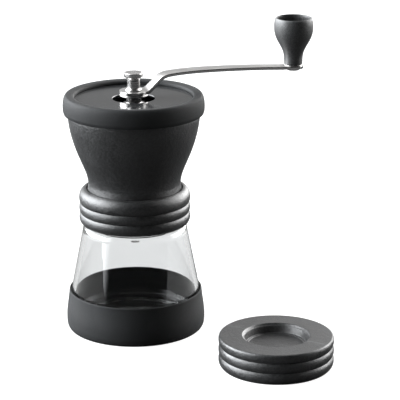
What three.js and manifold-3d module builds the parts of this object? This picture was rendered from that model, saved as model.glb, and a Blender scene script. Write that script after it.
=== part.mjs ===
// Hand crank coffee grinder: a glass jar in a soft cup base, a screw-on mill head with a flared hopper,
// conical ceramic burrs, a strip crank with a hollow knob, and a screw lid for storing the jar.
// Millimetres, +Z up. The origin is the centre of the underside of the base, and the crank points along +X.
import * as THREE from "three";
import { mergeVertices } from "three/addons/utils/BufferGeometryUtils.js";
import Module from "manifold-3d";

const wasm = await Module();
wasm.setup();

// ---- Driving dimensions ----------------------------------------------------------------------------------

// Facets of a full turn
const LARGE_FACETS = 28;
const SMALL_FACETS = 16;
const SCREW_FACETS = 12;
const CURVE_STEPS = 5;

// Clearances
const SEAT = 0.1; // between faces that rest on each other
const SIDE_FIT = 0.35; // round the large screwed and dropped-in pieces
const RUNNING_FIT = 0.09; // shaft in a bush
const KEY_FIT = 0.12; // a keyed hole round the shaft's flats
const WELD = 0.004; // edges shorter than this are closed up after a join or a cut
const EDGE_BREAK = 0.5; // small break of a moulded or turned edge
const OVERCUT = 1; // how far a cutting tool reaches past the piece

// Soft base
const BASE_RADIUS = 46.5;
const BASE_HEIGHT = 26.5;
const BASE_FLOOR = 3;
const BASE_WALL = 2.2; // at its widest
const BASE_RIM_WALL = 1.3;
const BASE_RIM_RADIUS = 44.7;
const BASE_FOOT_RISE = 6; // from the floor up to the widest part
const BASE_FOOT_INSET = 2.7; // of the flat foot inside the widest part
const BASE_BELLY_HEIGHT = 9; // where the wall starts to lean in

// Jar
const JAR_HEIGHT = 82;
const JAR_WALL = 3;
const JAR_FLOOR = 5;
const JAR_SHOULDER_RADIUS = 35.1;
const JAR_SHOULDER_ROUND = 3.6;
const JAR_NECK_RADIUS = 31.6;
const JAR_NECK_HEIGHT = 13.4;
const JAR_HEEL_ROUND = 6;
const JAR_PUNT = 1; // how far the middle of its underside is raised
const JAR_PUNT_INSET = 10; // from the heel to the raised middle
const JAR_RING_INSET = 14.2; // from the heel to the step in the inner floor
const JAR_RING_STEP = 0.7;

// Screw thread of the jar, the collar and the storage lid
const THREAD_PITCH = 5;
const THREAD_LENGTH = 9; // along the axis
const THREAD_DEPTH = 1.2;
const THREAD_FADE = 1.5; // length of its run-out at each end
const THREAD_STEPS = 6; // rings of the mesh along one pitch
const THREAD_START = 2.6; // of the jar's thread, above the neck's foot
const THREAD_PLAY = 0.6; // between the jar's crests and the bore of an inner thread

// Seal ring
const SEAL_THICKNESS = 1.8;
const SEAL_INSET = 0.4; // inside the neck's outer wall

// Ribbed skirts of the collar and the storage lid
const RIB_COUNT = 3;
const RIB_PITCH = 6.55;
const RIB_GROOVE = 0.9;
const RIB_STEPS = 4;
const RIB_FULLNESS = 2.6; // how square the ribs are
const SKIRT_RADIUS = 37.05;
const SKIRT_FOOT = 1; // height of the plain edge under the lowest rib

// Collar
const COLLAR_DROP = 12; // how far the collar hangs below the jar's rim
const COLLAR_SHOULDER = 6.4; // from the middle of the top rib to the collar's top edge
const COLLAR_TOP_RADIUS = 32.3;
const COLLAR_WEB = 3.6; // thickness of the web that the hopper and the carrier clamp
const COLLAR_GROOVE = 1.8; // from the top edge down to the web

// Burr carrier
const CARRIER_LEDGE_RADIUS = 16.6;
const CARRIER_WALL = 3.2;
const CARRIER_SKIRT = 16.5; // how far it hangs below its flange
const CARRIER_FILLET = 2; // height of its web under the flange
const CARRIER_SHY = 0.8; // of the web inside the jar's bore

// Burrs
const OUTER_BURR_RADIUS = 19.6;
const OUTER_BURR_HEIGHT = 15.5;
const INNER_BURR_BOTTOM = 16;
const INNER_BURR_TOP = 8.6;
const BURR_GAP = 0.9; // between the crests at the coarsest setting
const BURR_TEETH = 14;
const BURR_TOOTH_DEPTH = 1.3;
const BURR_TWIST = 0.5; // turn of the grooves from bottom to top, in radians
const BURR_LAYERS = 4;
const BURR_INSET = 0.4; // of the burrs above the carrier's lower edge

// Hopper
const HOPPER_WAIST_RISE = 5.2; // from the foot up to the waist
const HOPPER_WAIST_RADIUS = 30.8;
const HOPPER_TOP_RADIUS = 43.7;
const HOPPER_HEIGHT = 52.9; // from the waist to the mouth
const HOPPER_FLARE_HEIGHT = 45.6; // from the waist to where the wall stands upright
const HOPPER_WALL = 2.3;
const HOPPER_THROAT_RADIUS = 18.6;
const HOPPER_SKIRT_RADIUS = 29.5;
const HOPPER_FOOT_RADIUS = 31.2;
const HOPPER_FOOT_HEIGHT = 1.2;
const HOPPER_FLOOR = 3; // thickness of the funnel at its throat
const HOPPER_FUNNEL_RISE = 0.6; // of the funnel's outer edge above the waist

// Bearing post in the hopper
const POST_RADIUS = 8;
const POST_BORE = 6;
const POST_FOOT = 11.6; // above the waist
const POST_DROP = 3.6; // from the hopper's mouth down to the post's top
const LEG_COUNT = 3;
const LEG_THICKNESS = 3;
const LEG_HEIGHT = 13;
const LEG_RISE = 2; // of a leg's top edge towards the post
const BUSH_LENGTH = 8;
const BUSH_FLANGE = 1.1;
const BUSH_FLANGE_RADIUS = 7.4;
const BUSH_SINK = 0.5; // how far a flange reaches over its tube

// Carrier screws
const SCREW_COUNT = 3;
const SCREW_CIRCLE = 25.6;
const SCREW_RADIUS = 1.4;
const SCREW_HEAD_RADIUS = 2.5;
const SCREW_HEAD_HEIGHT = 1.8;
const SCREW_LENGTH = 6.4;
const SCREW_SLOT_WIDTH = 0.7;
const SCREW_SLOT_DEPTH = 0.8;

// Shaft and what is on it
const SHAFT_RADIUS = 3.5;
const SHAFT_FLAT = 2.8; // from the axis to each flat
const SHAFT_LAP = 0.01; // how far its joined stretches reach into each other
const STUD_RADIUS = 2.9;
const STUD_LENGTH = 8.5;
const DRIVE_WASHER = 1.2;
const DRIVE_WASHER_RADIUS = 7.6;
const ADJUST_NUT_HEIGHT = 7;
const ADJUST_FLANGE_RADIUS = 7.6;
const ADJUST_FLANGE = 2.2;
const ADJUST_COLLAR_RADIUS = 5;
const ADJUST_NOTCHES = 4;
const ADJUST_NOTCH_WIDTH = 2.4;
const ADJUST_NOTCH_DEPTH = 1.7;
const ADJUST_FILLET = 0.6;
const LOCK_RING = 1.5;
const ADJUST_TRAVEL = 0.8; // how far the shaft can be drawn up
const SPRING_RADIUS = 5.4;
const SPRING_WIRE = 0.6;
const SPRING_COILS = 6;
const SPRING_STEPS = 9; // along one coil
const SPRING_WASHER = 1;
const SPRING_WASHER_RADIUS = 6.8;
const CORE_FLANGE_RADIUS = 8;
const CORE_FLANGE = 2;
const CORE_RADIUS = 5.4;
const CORE_BELOW = 0.6; // how far the core stands out below the inner burr
const CORE_ABOVE = 0.8;
const FLATS_SPARE = 1; // how far the lower flats run on above the core
const END_WASHER = 1.2;
const END_WASHER_RADIUS = 9;
const END_NUT_HEIGHT = 3;
const END_NUT_RADIUS = 6.2;
const END_STUD_SPARE = 1; // how far the stud stands out below its nut

// Crank
const CRANK_THICKNESS = 2;
const CRANK_HUB_RADIUS = 9.35;
const CRANK_LENGTH = 109.6; // from the shaft to the knob's axis
const CRANK_RISE = 12.1; // from the hub's top to the highest point of the arm
const CRANK_FALL = 1.5; // from there down to the knob
const CRANK_ROOT_WIDTH = 11.6;
const CRANK_END_WIDTH = 8.8;
const CRANK_END_RADIUS = 6.7;
const CRANK_FILLET = 7;
const NUT_NECK_RADIUS = 4.25;
const NUT_CAP_RADIUS = 6.25;
const NUT_CAP_HEIGHT = 3.1;
const NUT_HEIGHT = 12.1;
const NUT_FOOT_RADIUS = 5.4;
const NUT_FOOT_HEIGHT = 0.7;
const NUT_CAP_ROUND = 2.6; // height of the hollow round under the cap
const STUD_HEADROOM = 0.6; // over the stud in the thumb nut

// Knob
const KNOB_HEIGHT = 31.4;
const KNOB_RADIUS = 13.1;
const KNOB_NECK_RADIUS = 6.25;
const KNOB_NECK_HEIGHT = 3.6;
const KNOB_WALL = 1.7;
const KNOB_FLOOR_HEIGHT = 9.6;
const KNOB_STUD_RADIUS = 2.6;
const KNOB_STUD_HEAD = 4.4;
const KNOB_STUD_HEAD_HEIGHT = 1.5;
const KNOB_RIVET_HEIGHT = 1.2; // of the riveted end under the arm
const KNOB_STUD_BEVEL = 1;
const KNOB_WASHER = 0.5;
const KNOB_WASHER_RADIUS = 5.95;
const KNOB_BELLY_SHARE = 0.8; // of the height, where it is widest
const KNOB_FACETS = 20;

// Lid
const LID_RADIUS = 46.8;
const LID_SKIRT = 5.2; // how far the rim hangs below the hopper's mouth
const LID_TOP_HEIGHT = 7.4; // above the hopper's mouth
const LID_OPENING_RADIUS = 39;
const LID_ROUND = 2.6; // of the rim's upper edges
const LID_LIP = 2.3; // thickness of the lip under the window
const LID_LIP_RADIUS = 38;
const WINDOW_RADIUS = 41.2;
const WINDOW_THICKNESS = 2;
const WINDOW_HOLE_RADIUS = 13.9;

// Storage lid, lying beside the mill
const STORAGE_X = 69.9;
const STORAGE_Y = -96;
const STORAGE_HEIGHT = 20.2;
const STORAGE_RECESS_RADIUS = 21;
const STORAGE_FLOOR_RADIUS = 18.6;
const STORAGE_RECESS_DEPTH = 6.2;
const STORAGE_TOP = 2.6;
const STORAGE_FLOOR = 2;
const STORAGE_SEAL_HEIGHT = 12.7; // from the lid's edge to the seal
const STORAGE_LIP_DROP = 1.6; // of the rounded lip round the recess
const STORAGE_FLOOR_FILLET = 0.6;

// ---- Heights worked out from the dimensions --------------------------------------------------------------

const jarBottom = BASE_FLOOR + SEAT;
const jarRim = jarBottom + JAR_HEIGHT;
const neckFoot = jarRim - JAR_NECK_HEIGHT;
const sealBottom = jarRim + SEAT;
const flangeBottom = sealBottom + SEAL_THICKNESS + SEAT;
const collarBottom = jarRim - COLLAR_DROP;
const topRib = collarBottom + SKIRT_FOOT + (RIB_COUNT - 0.5) * RIB_PITCH;
const collarTop = topRib + COLLAR_SHOULDER;
const webTop = collarTop - COLLAR_GROOVE;
const flangeTop = webTop - COLLAR_WEB - SEAT;
const hopperBottom = flangeTop + SEAT;
const hopperFoot = webTop + SEAT;
const hopperWaist = hopperFoot + HOPPER_WAIST_RISE;
const hopperMouth = hopperWaist + HOPPER_HEIGHT;
const postBottom = hopperWaist + POST_FOOT;
const postTop = hopperMouth - POST_DROP;
const bushTop = postTop + SEAT + BUSH_FLANGE;
const driveWasherBottom = bushTop + SEAT;
const adjustNutBottom = driveWasherBottom + DRIVE_WASHER + SEAT;
const lockRingBottom = adjustNutBottom + ADJUST_NUT_HEIGHT + SEAT;
const crankBottom = lockRingBottom + LOCK_RING + SEAT;
const crankTop = crankBottom + CRANK_THICKNESS;
const crankNutBottom = crankTop + SEAT;
const carrierBottom = flangeBottom - CARRIER_SKIRT;
const burrBottom = carrierBottom + BURR_INSET;
const burrTop = burrBottom + OUTER_BURR_HEIGHT;
const threadBottom = neckFoot + THREAD_START;
const threadTop = threadBottom + THREAD_LENGTH;
const threadBore = JAR_NECK_RADIUS + THREAD_DEPTH + THREAD_PLAY;
const windowBottom = hopperMouth + SEAT + LID_LIP + SEAT;
const lidTop = hopperMouth + LID_TOP_HEIGHT;

// ---- Shape helpers ---------------------------------------------------------------------------------------

// A closed geometry as a solid that can be joined and cut.
function asSolid(geometry) {
  const bare = geometry.index ? geometry.toNonIndexed() : geometry.clone();
  bare.deleteAttribute("normal");
  bare.deleteAttribute("uv");
  const merged = mergeVertices(bare, 1e-4);
  return new wasm.Manifold(
    new wasm.Mesh({
      numProp: 3,
      vertProperties: merged.attributes.position.array,
      triVerts: new Uint32Array(merged.index.array),
    }),
  );
}

// A solid as a geometry with flat faces.
function asGeometry(solid) {
  const mesh = solid.getMesh();
  const geometry = new THREE.BufferGeometry();
  geometry.setAttribute("position", new THREE.BufferAttribute(mesh.vertProperties, mesh.numProp));
  geometry.setIndex(new THREE.BufferAttribute(mesh.triVerts, 1));
  const flat = geometry.toNonIndexed();
  flat.computeVertexNormals();
  return flat;
}

// Joins the first solid with the others.
function join(first, ...others) {
  return others.reduce((whole, part) => whole.add(part), first).simplify(WELD);
}

// Cuts the others out of the first solid.
function cut(first, ...others) {
  return others.reduce((whole, part) => whole.subtract(part), first).simplify(WELD);
}

// Turns an outline of [radius, height] points about the Z axis. It runs anticlockwise, closed by itself
// or by the axis.
function turned(points, facets = LARGE_FACETS) {
  const closed = points[0][0] > 0;
  const outline = points.map(([radius, height]) => new THREE.Vector2(radius, height));
  if (closed) outline.push(outline[0].clone());
  return new THREE.LatheGeometry(outline, facets).rotateX(Math.PI / 2);
}

function turnedSolid(points, facets = LARGE_FACETS) {
  return asSolid(turned(points, facets));
}

// An upright round bar on the Z axis, as an outline turned about it.
function bar(radius, bottom, top, facets = SMALL_FACETS) {
  return turnedSolid([[0, bottom], [radius, bottom], [radius, top], [0, top]], facets);
}

// An upright ring with square edges.
function ringOutline(inner, outer, bottom, top) {
  return [[inner, bottom], [outer, bottom], [outer, top], [inner, top]];
}

// Points of a cubic curve between two [radius, height] points.
function curve(from, firstPull, lastPull, to, steps = CURVE_STEPS) {
  const bezier = new THREE.CubicBezierCurve(
    new THREE.Vector2(...from),
    new THREE.Vector2(...firstPull),
    new THREE.Vector2(...lastPull),
    new THREE.Vector2(...to),
  );
  return bezier.getPoints(steps).map((point) => [point.x, point.y]);
}

// Points of a quarter round whose corner is at [radius, height].
function corner(from, cornerPoint, to, steps = 3) {
  const bezier = new THREE.QuadraticBezierCurve(
    new THREE.Vector2(...from),
    new THREE.Vector2(...cornerPoint),
    new THREE.Vector2(...to),
  );
  return bezier.getPoints(steps).map((point) => [point.x, point.y]);
}

// A box given by its middle and its sides.
function block(width, depth, height, x, y, z) {
  return asSolid(new THREE.BoxGeometry(width, depth, height).translate(x, y, z));
}

// A shape extruded upwards from a height.
function plate(shape, bottom, thickness, curveSegments = 8) {
  const options = { depth: thickness, bevelEnabled: false, curveSegments };
  return asSolid(new THREE.ExtrudeGeometry(shape, options).translate(0, 0, bottom));
}

// A copy turned about the Z axis.
function spun(solid, angle) {
  return solid.rotate([0, 0, THREE.MathUtils.radToDeg(angle)]);
}

// Copies of a solid spread evenly round the Z axis.
function spread(solid, count, start = 0) {
  return Array.from({ length: count }, (_, index) => spun(solid, start + (index * 2 * Math.PI) / count));
}

// Outline points up a threaded wall, close enough together to carry the thread's wave.
function threadedWall(radius, bottom, top) {
  const count = Math.ceil(((top - bottom) / THREAD_PITCH) * THREAD_STEPS);
  return Array.from({ length: count + 1 }, (_, index) => [radius, bottom + (index * (top - bottom)) / count]);
}

// Raises a right-hand thread on the round wall of a turned geometry, between two heights. The thread is
// a wave that fades out at both ends, and rise is the height of its crests: outwards, or inwards if
// negative. Crests of an inner thread lie half a pitch from those of an outer one.
function raiseThread(geometry, radius, bottom, top, rise) {
  const place = geometry.attributes.position;
  for (let index = 0; index < place.count; index += 1) {
    const [x, y, height] = [place.getX(index), place.getY(index), place.getZ(index)];
    const onWall = Math.abs(Math.hypot(x, y) - radius) < 0.001;
    if (!onWall || height <= bottom || height >= top) continue;
    const phase = Math.atan2(y, x) - (2 * Math.PI * (height - bottom)) / THREAD_PITCH;
    const wave = 0.5 + 0.5 * Math.sign(rise) * Math.cos(phase);
    const fade = Math.min(1, (height - bottom) / THREAD_FADE, (top - height) / THREAD_FADE);
    const scale = (radius + rise * wave * fade) / radius;
    place.setXYZ(index, x * scale, y * scale, height);
  }
  return geometry;
}

// The shaft's cross-section: round with two flats, grown by a clearance, as an upright bar.
function keyBar(clearance, bottom, top) {
  const height = top - bottom;
  const flats = 2 * (SHAFT_FLAT + clearance);
  const round = bar(SHAFT_RADIUS + clearance, bottom, top);
  return round.intersect(block(4 * SHAFT_RADIUS, flats, height, 0, 0, bottom + height / 2));
}

// A ribbed skirt's outer wall, from its lower edge up to the middle of its top rib.
function ribbedWall(bottom) {
  const wall = [[SKIRT_RADIUS - RIB_GROOVE - EDGE_BREAK, bottom]];
  const count = (RIB_COUNT - 0.5) * RIB_STEPS;
  for (let step = 0; step <= count; step += 1) {
    const along = step / RIB_STEPS;
    const fromMiddle = Math.abs(2 * (along - Math.floor(along)) - 1);
    const radius = SKIRT_RADIUS - RIB_GROOVE * fromMiddle ** RIB_FULLNESS;
    wall.push([radius, bottom + SKIRT_FOOT + along * RIB_PITCH]);
  }
  return wall;
}

// ---- Materials -------------------------------------------------------------------------------------------

function finish(color, roughness, metalness = 0) {
  return new THREE.MeshStandardMaterial({ color, roughness, metalness });
}

const finishes = {
  softRubber: () => finish(0x47484b, 0.85),
  satinPlastic: () => finish(0x35363a, 0.5),
  knobPlastic: () => finish(0x404144, 0.6),
  smokedPlastic: () => finish(0x55595a, 0.15),
  clearGlass: () => finish(0xd9dddd, 0.05),
  sealRubber: () => finish(0x9a9a98, 0.8),
  chrome: () => finish(0xb9b8b4, 0.2, 1),
  steel: () => finish(0xa7a7a3, 0.35, 1),
  ceramic: () => finish(0xe6e3dc, 0.6),
  bushPlastic: () => finish(0xd8d6cf, 0.45),
};

const grinder = new THREE.Group();

// Adds a named piece to the mill.
function addPiece(name, shape, material) {
  const geometry = shape.isBufferGeometry ? shape : asGeometry(shape);
  const mesh = new THREE.Mesh(geometry, material());
  mesh.name = name;
  grinder.add(mesh);
  return mesh;
}

// ---- Base and jar ----------------------------------------------------------------------------------------

const jarHeel = BASE_RADIUS - BASE_WALL - SIDE_FIT;
const jarAtBaseRim = BASE_RIM_RADIUS - BASE_RIM_WALL - SIDE_FIT;

function rubberBase() {
  const foot = [BASE_RADIUS - BASE_FOOT_INSET, 0];
  const widest = [BASE_RADIUS, BASE_FOOT_RISE];
  const outside = [
    ...curve(foot, [foot[0] + BASE_FOOT_INSET * 0.6, 0], [BASE_RADIUS, BASE_FOOT_RISE / 3], widest),
    ...corner([BASE_RADIUS, BASE_BELLY_HEIGHT], [BASE_RADIUS, BASE_BELLY_HEIGHT + BASE_FOOT_RISE],
      [BASE_RIM_RADIUS, BASE_HEIGHT - 2 * EDGE_BREAK]),
    [BASE_RIM_RADIUS - EDGE_BREAK, BASE_HEIGHT],
  ];
  const inside = [
    [BASE_RIM_RADIUS - BASE_RIM_WALL, BASE_HEIGHT],
    [BASE_RADIUS - BASE_WALL, BASE_FLOOR + JAR_HEEL_ROUND],
    [BASE_RADIUS - BASE_WALL - JAR_HEEL_ROUND * 0.28, BASE_FLOOR + JAR_HEEL_ROUND * 0.32],
    [BASE_RADIUS - BASE_WALL - JAR_HEEL_ROUND * 0.8, BASE_FLOOR],
    [0, BASE_FLOOR],
  ];
  return turned([[0, 0], ...outside, ...inside]);
}

// The jar's outer radius at a height on its cone, between the base's rim and the shoulder.
function jarConeRadius(height) {
  const share = (height - BASE_HEIGHT) / (neckFoot - JAR_SHOULDER_ROUND - BASE_HEIGHT);
  return THREE.MathUtils.lerp(jarAtBaseRim, JAR_SHOULDER_RADIUS, share);
}

function glassJar() {
  const shoulder = neckFoot - JAR_SHOULDER_ROUND;
  const underShoulder = shoulder - JAR_WALL * 0.66;
  const boreRadius = JAR_NECK_RADIUS - JAR_WALL;
  const floor = jarBottom + JAR_FLOOR;
  const outside = [
    [jarHeel - JAR_HEEL_ROUND, jarBottom],
    [jarHeel - JAR_HEEL_ROUND * 0.35, jarBottom + JAR_HEEL_ROUND * 0.32],
    [jarHeel, jarBottom + JAR_HEEL_ROUND],
    [jarAtBaseRim, BASE_HEIGHT],
    [JAR_SHOULDER_RADIUS, shoulder],
    ...corner([JAR_SHOULDER_RADIUS - EDGE_BREAK, shoulder + JAR_SHOULDER_ROUND / 3],
      [JAR_SHOULDER_RADIUS - EDGE_BREAK, neckFoot], [JAR_NECK_RADIUS, neckFoot]),
    ...threadedWall(JAR_NECK_RADIUS, threadBottom, threadTop),
    [JAR_NECK_RADIUS, jarRim - EDGE_BREAK],
    [JAR_NECK_RADIUS - EDGE_BREAK, jarRim],
  ];
  const inside = [
    [boreRadius + EDGE_BREAK, jarRim],
    [boreRadius, jarRim - EDGE_BREAK],
    ...corner([boreRadius, neckFoot - JAR_WALL / 3], [JAR_SHOULDER_RADIUS - JAR_WALL - EDGE_BREAK, shoulder],
      [jarConeRadius(underShoulder) - JAR_WALL, underShoulder]),
    [jarAtBaseRim - JAR_WALL, BASE_HEIGHT],
    [jarHeel - JAR_WALL - EDGE_BREAK, floor + JAR_HEEL_ROUND + 2 * EDGE_BREAK],
    ...corner([jarHeel - JAR_WALL - 2 * EDGE_BREAK, floor + JAR_HEEL_ROUND],
      [jarHeel - JAR_WALL - 4 * EDGE_BREAK, floor + EDGE_BREAK], [jarHeel - JAR_RING_INSET, floor]),
    [jarHeel - JAR_RING_INSET - 2 * EDGE_BREAK, floor - JAR_RING_STEP],
    [0, floor - JAR_RING_STEP],
  ];
  const punt = jarBottom + JAR_PUNT;
  const body = turned([[0, punt], [jarHeel - JAR_PUNT_INSET, punt], ...outside, ...inside]);
  return raiseThread(body, JAR_NECK_RADIUS, threadBottom, threadTop, THREAD_DEPTH);
}

function jarSeal() {
  const outer = JAR_NECK_RADIUS - SEAL_INSET;
  return turned(ringOutline(JAR_NECK_RADIUS - JAR_WALL + SEAL_INSET, outer, sealBottom,
    sealBottom + SEAL_THICKNESS));
}

// Heights of the inner thread of a skirt whose lower edge is at a height. It matches the jar's thread.
function skirtThread(edge) {
  const bottom = edge + (threadBottom - collarBottom);
  return [bottom, bottom + THREAD_LENGTH];
}

// ---- Mill head -------------------------------------------------------------------------------------------

function screwCollar() {
  const [low, high] = skirtThread(collarBottom);
  const shoulder = curve([SKIRT_RADIUS, topRib], [SKIRT_RADIUS, topRib + COLLAR_SHOULDER * 0.6],
    [COLLAR_TOP_RADIUS + 2.6, collarTop], [COLLAR_TOP_RADIUS, collarTop]);
  const outline = [
    ...ribbedWall(collarBottom),
    ...shoulder.slice(1),
    [COLLAR_TOP_RADIUS - EDGE_BREAK, webTop],
    [HOPPER_SKIRT_RADIUS + SIDE_FIT, webTop],
    [HOPPER_SKIRT_RADIUS + SIDE_FIT, webTop - COLLAR_WEB],
    [threadBore, webTop - COLLAR_WEB],
    ...threadedWall(threadBore, low, high).reverse(),
    [threadBore, collarBottom],
  ];
  return raiseThread(turned(outline), threadBore, low, high, -THREAD_DEPTH);
}

const hopperBend = hopperWaist + HOPPER_FLARE_HEIGHT;

// The hopper's wall from the waist to its upright mouth, moved inwards by an inset.
function hopperWall(inset, steps) {
  const flare = HOPPER_TOP_RADIUS - HOPPER_WAIST_RADIUS;
  return curve(
    [HOPPER_WAIST_RADIUS - inset, hopperWaist],
    [HOPPER_WAIST_RADIUS - inset, hopperWaist + HOPPER_FLARE_HEIGHT * 0.23],
    [HOPPER_TOP_RADIUS - flare * 0.18 - inset, hopperWaist + HOPPER_FLARE_HEIGHT * 0.474],
    [HOPPER_TOP_RADIUS - inset, hopperBend],
    steps,
  );
}

// The hopper wall's middle radius at a height, for what is moulded on to it.
function hopperMiddle(height) {
  const wall = hopperWall(HOPPER_WALL / 2, 24);
  const next = Math.max(1, wall.findIndex((point) => point[1] >= height));
  const [low, high] = [wall[next - 1], wall[next]];
  return THREE.MathUtils.mapLinear(height, low[1], high[1], low[0], high[0]);
}

// One leg of the bearing post, reaching from the post into the hopper's wall.
function postLeg() {
  const legTop = postBottom + LEG_HEIGHT;
  const inner = (POST_RADIUS + POST_BORE) / 2;
  const outline = new THREE.Shape([
    new THREE.Vector2(inner, postBottom),
    new THREE.Vector2(hopperMiddle(postBottom), postBottom),
    new THREE.Vector2(hopperMiddle(legTop), legTop),
    new THREE.Vector2(inner, legTop + LEG_RISE),
  ]);
  const options = { depth: LEG_THICKNESS, bevelEnabled: false };
  const leg = new THREE.ExtrudeGeometry(outline, options);
  return asSolid(leg.translate(0, 0, -LEG_THICKNESS / 2).rotateX(Math.PI / 2));
}

function hopper() {
  const outline = [
    [HOPPER_THROAT_RADIUS, hopperBottom],
    [HOPPER_SKIRT_RADIUS, hopperBottom],
    [HOPPER_SKIRT_RADIUS, hopperFoot],
    [HOPPER_FOOT_RADIUS, hopperFoot],
    [HOPPER_FOOT_RADIUS, hopperFoot + HOPPER_FOOT_HEIGHT],
    ...hopperWall(0, 10),
    [HOPPER_TOP_RADIUS, hopperMouth],
    [HOPPER_TOP_RADIUS - HOPPER_WALL, hopperMouth],
    ...hopperWall(HOPPER_WALL, 8).reverse().slice(0, -1),
    [HOPPER_WAIST_RADIUS - HOPPER_WALL, hopperWaist + HOPPER_FUNNEL_RISE],
    [HOPPER_THROAT_RADIUS, hopperBottom + HOPPER_FLOOR],
  ];
  const postBore = bar(POST_BORE, postBottom - OVERCUT, postTop + OVERCUT);
  const post = cut(bar(POST_RADIUS, postBottom, postTop), postBore);
  const holeTop = flangeBottom + SCREW_LENGTH + EDGE_BREAK;
  const screwHole = bar(SCREW_RADIUS + SEAT, hopperBottom - OVERCUT, holeTop, SCREW_FACETS)
    .translate([SCREW_CIRCLE, 0, 0]);
  const legs = spread(postLeg(), LEG_COUNT, Math.PI / LEG_COUNT);
  return cut(join(turnedSolid(outline), post, ...legs), ...spread(screwHole, SCREW_COUNT));
}

// A flanged bearing bush, standing on its flange or hanging from it.
function bush(bottom, flangeBottomHeight) {
  const outer = POST_BORE - SEAT;
  const tube = turnedSolid(ringOutline(SHAFT_RADIUS + RUNNING_FIT, outer, bottom, bottom + BUSH_LENGTH),
    SMALL_FACETS);
  const flange = turnedSolid(ringOutline(SHAFT_RADIUS + RUNNING_FIT, BUSH_FLANGE_RADIUS, flangeBottomHeight,
    flangeBottomHeight + BUSH_FLANGE), SMALL_FACETS);
  return join(tube, flange);
}

function burrCarrier() {
  const boreRadius = OUTER_BURR_RADIUS + SEAT;
  const outerRadius = boreRadius + CARRIER_WALL;
  const outline = [
    [boreRadius, carrierBottom],
    [outerRadius - EDGE_BREAK, carrierBottom],
    [outerRadius, carrierBottom + EDGE_BREAK],
    [outerRadius + EDGE_BREAK, flangeBottom - CARRIER_FILLET],
    [JAR_NECK_RADIUS - JAR_WALL - CARRIER_SHY, flangeBottom],
    [JAR_NECK_RADIUS, flangeBottom],
    [JAR_NECK_RADIUS, flangeTop],
    [CARRIER_LEDGE_RADIUS, flangeTop],
    [CARRIER_LEDGE_RADIUS, burrTop + SEAT],
    [boreRadius, burrTop + SEAT],
  ];
  const hole = bar(SCREW_RADIUS + SEAT, carrierBottom, flangeTop + OVERCUT, SCREW_FACETS);
  const counterbore = bar(SCREW_HEAD_RADIUS + SEAT, carrierBottom - OVERCUT, flangeBottom + SEAT, SCREW_FACETS);
  const screwWay = join(hole, counterbore).translate([SCREW_CIRCLE, 0, 0]);
  return cut(turnedSolid(outline), ...spread(screwWay, SCREW_COUNT));
}

function carrierScrew(angle) {
  const headBottom = flangeBottom - SCREW_HEAD_HEIGHT;
  const head = bar(SCREW_HEAD_RADIUS, headBottom, flangeBottom, SCREW_FACETS);
  const shank = bar(SCREW_RADIUS, headBottom + SCREW_SLOT_DEPTH + EDGE_BREAK, flangeBottom + SCREW_LENGTH,
    SCREW_FACETS);
  const slot = block(2 * SCREW_HEAD_RADIUS + OVERCUT, SCREW_SLOT_WIDTH, 2 * SCREW_SLOT_DEPTH, 0, 0, headBottom);
  return spun(cut(join(head, shank), slot).translate([SCREW_CIRCLE, 0, 0]), angle);
}

// ---- Burrs -----------------------------------------------------------------------------------------------

// A toothed cone: a star-shaped section that narrows and twists from bottom to top.
function toothedCone(bottomRadius, topRadius, depth, bottom, height) {
  const star = new THREE.Shape();
  const points = 2 * BURR_TEETH;
  for (let index = 0; index < points; index += 1) {
    const angle = (index * 2 * Math.PI) / points;
    star.lineTo(Math.cos(angle), Math.sin(angle));
  }
  const cone = new THREE.ExtrudeGeometry(star, { depth: 1, steps: BURR_LAYERS, bevelEnabled: false });
  const place = cone.attributes.position;
  for (let index = 0; index < place.count; index += 1) {
    const along = place.getZ(index);
    const angle = Math.atan2(place.getY(index), place.getX(index));
    const tooth = Math.round((angle * BURR_TEETH) / Math.PI);
    const crest = THREE.MathUtils.lerp(bottomRadius, topRadius, along);
    const radius = crest + (Math.abs(tooth) % 2) * depth;
    const turnedAngle = angle + along * BURR_TWIST;
    place.setXYZ(index, radius * Math.cos(turnedAngle), radius * Math.sin(turnedAngle),
      bottom + along * height);
  }
  return asSolid(cone);
}

function outerBurr() {
  const body = turnedSolid([[0, burrBottom], [OUTER_BURR_RADIUS, burrBottom], [OUTER_BURR_RADIUS, burrTop],
    [0, burrTop]]);
  const bottomRadius = INNER_BURR_BOTTOM + BURR_GAP;
  const topRadius = INNER_BURR_TOP + BURR_GAP;
  return cut(body, toothedCone(bottomRadius, topRadius, BURR_TOOTH_DEPTH, burrBottom - SEAT,
    OUTER_BURR_HEIGHT + 2 * SEAT));
}

const coreBottom = burrBottom - CORE_BELOW;
const coreTop = burrTop + CORE_ABOVE;

function innerBurr() {
  const height = OUTER_BURR_HEIGHT;
  const cone = toothedCone(INNER_BURR_BOTTOM, INNER_BURR_TOP, -BURR_TOOTH_DEPTH, burrBottom, height);
  return cut(cone, bar(CORE_RADIUS + SEAT, burrBottom - OVERCUT, burrTop + OVERCUT),
    bar(CORE_FLANGE_RADIUS + SEAT, burrBottom - OVERCUT, coreBottom + CORE_FLANGE + SEAT));
}

function burrCore() {
  const outline = [
    [0, coreBottom],
    [CORE_FLANGE_RADIUS, coreBottom],
    [CORE_FLANGE_RADIUS, coreBottom + CORE_FLANGE],
    [CORE_RADIUS, coreBottom + CORE_FLANGE],
    [CORE_RADIUS, coreTop],
    [0, coreTop],
  ];
  return cut(turnedSolid(outline, SMALL_FACETS), keyBar(KEY_FIT, coreBottom - OVERCUT, coreTop + OVERCUT));
}

// ---- Spindle ---------------------------------------------------------------------------------------------

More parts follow.
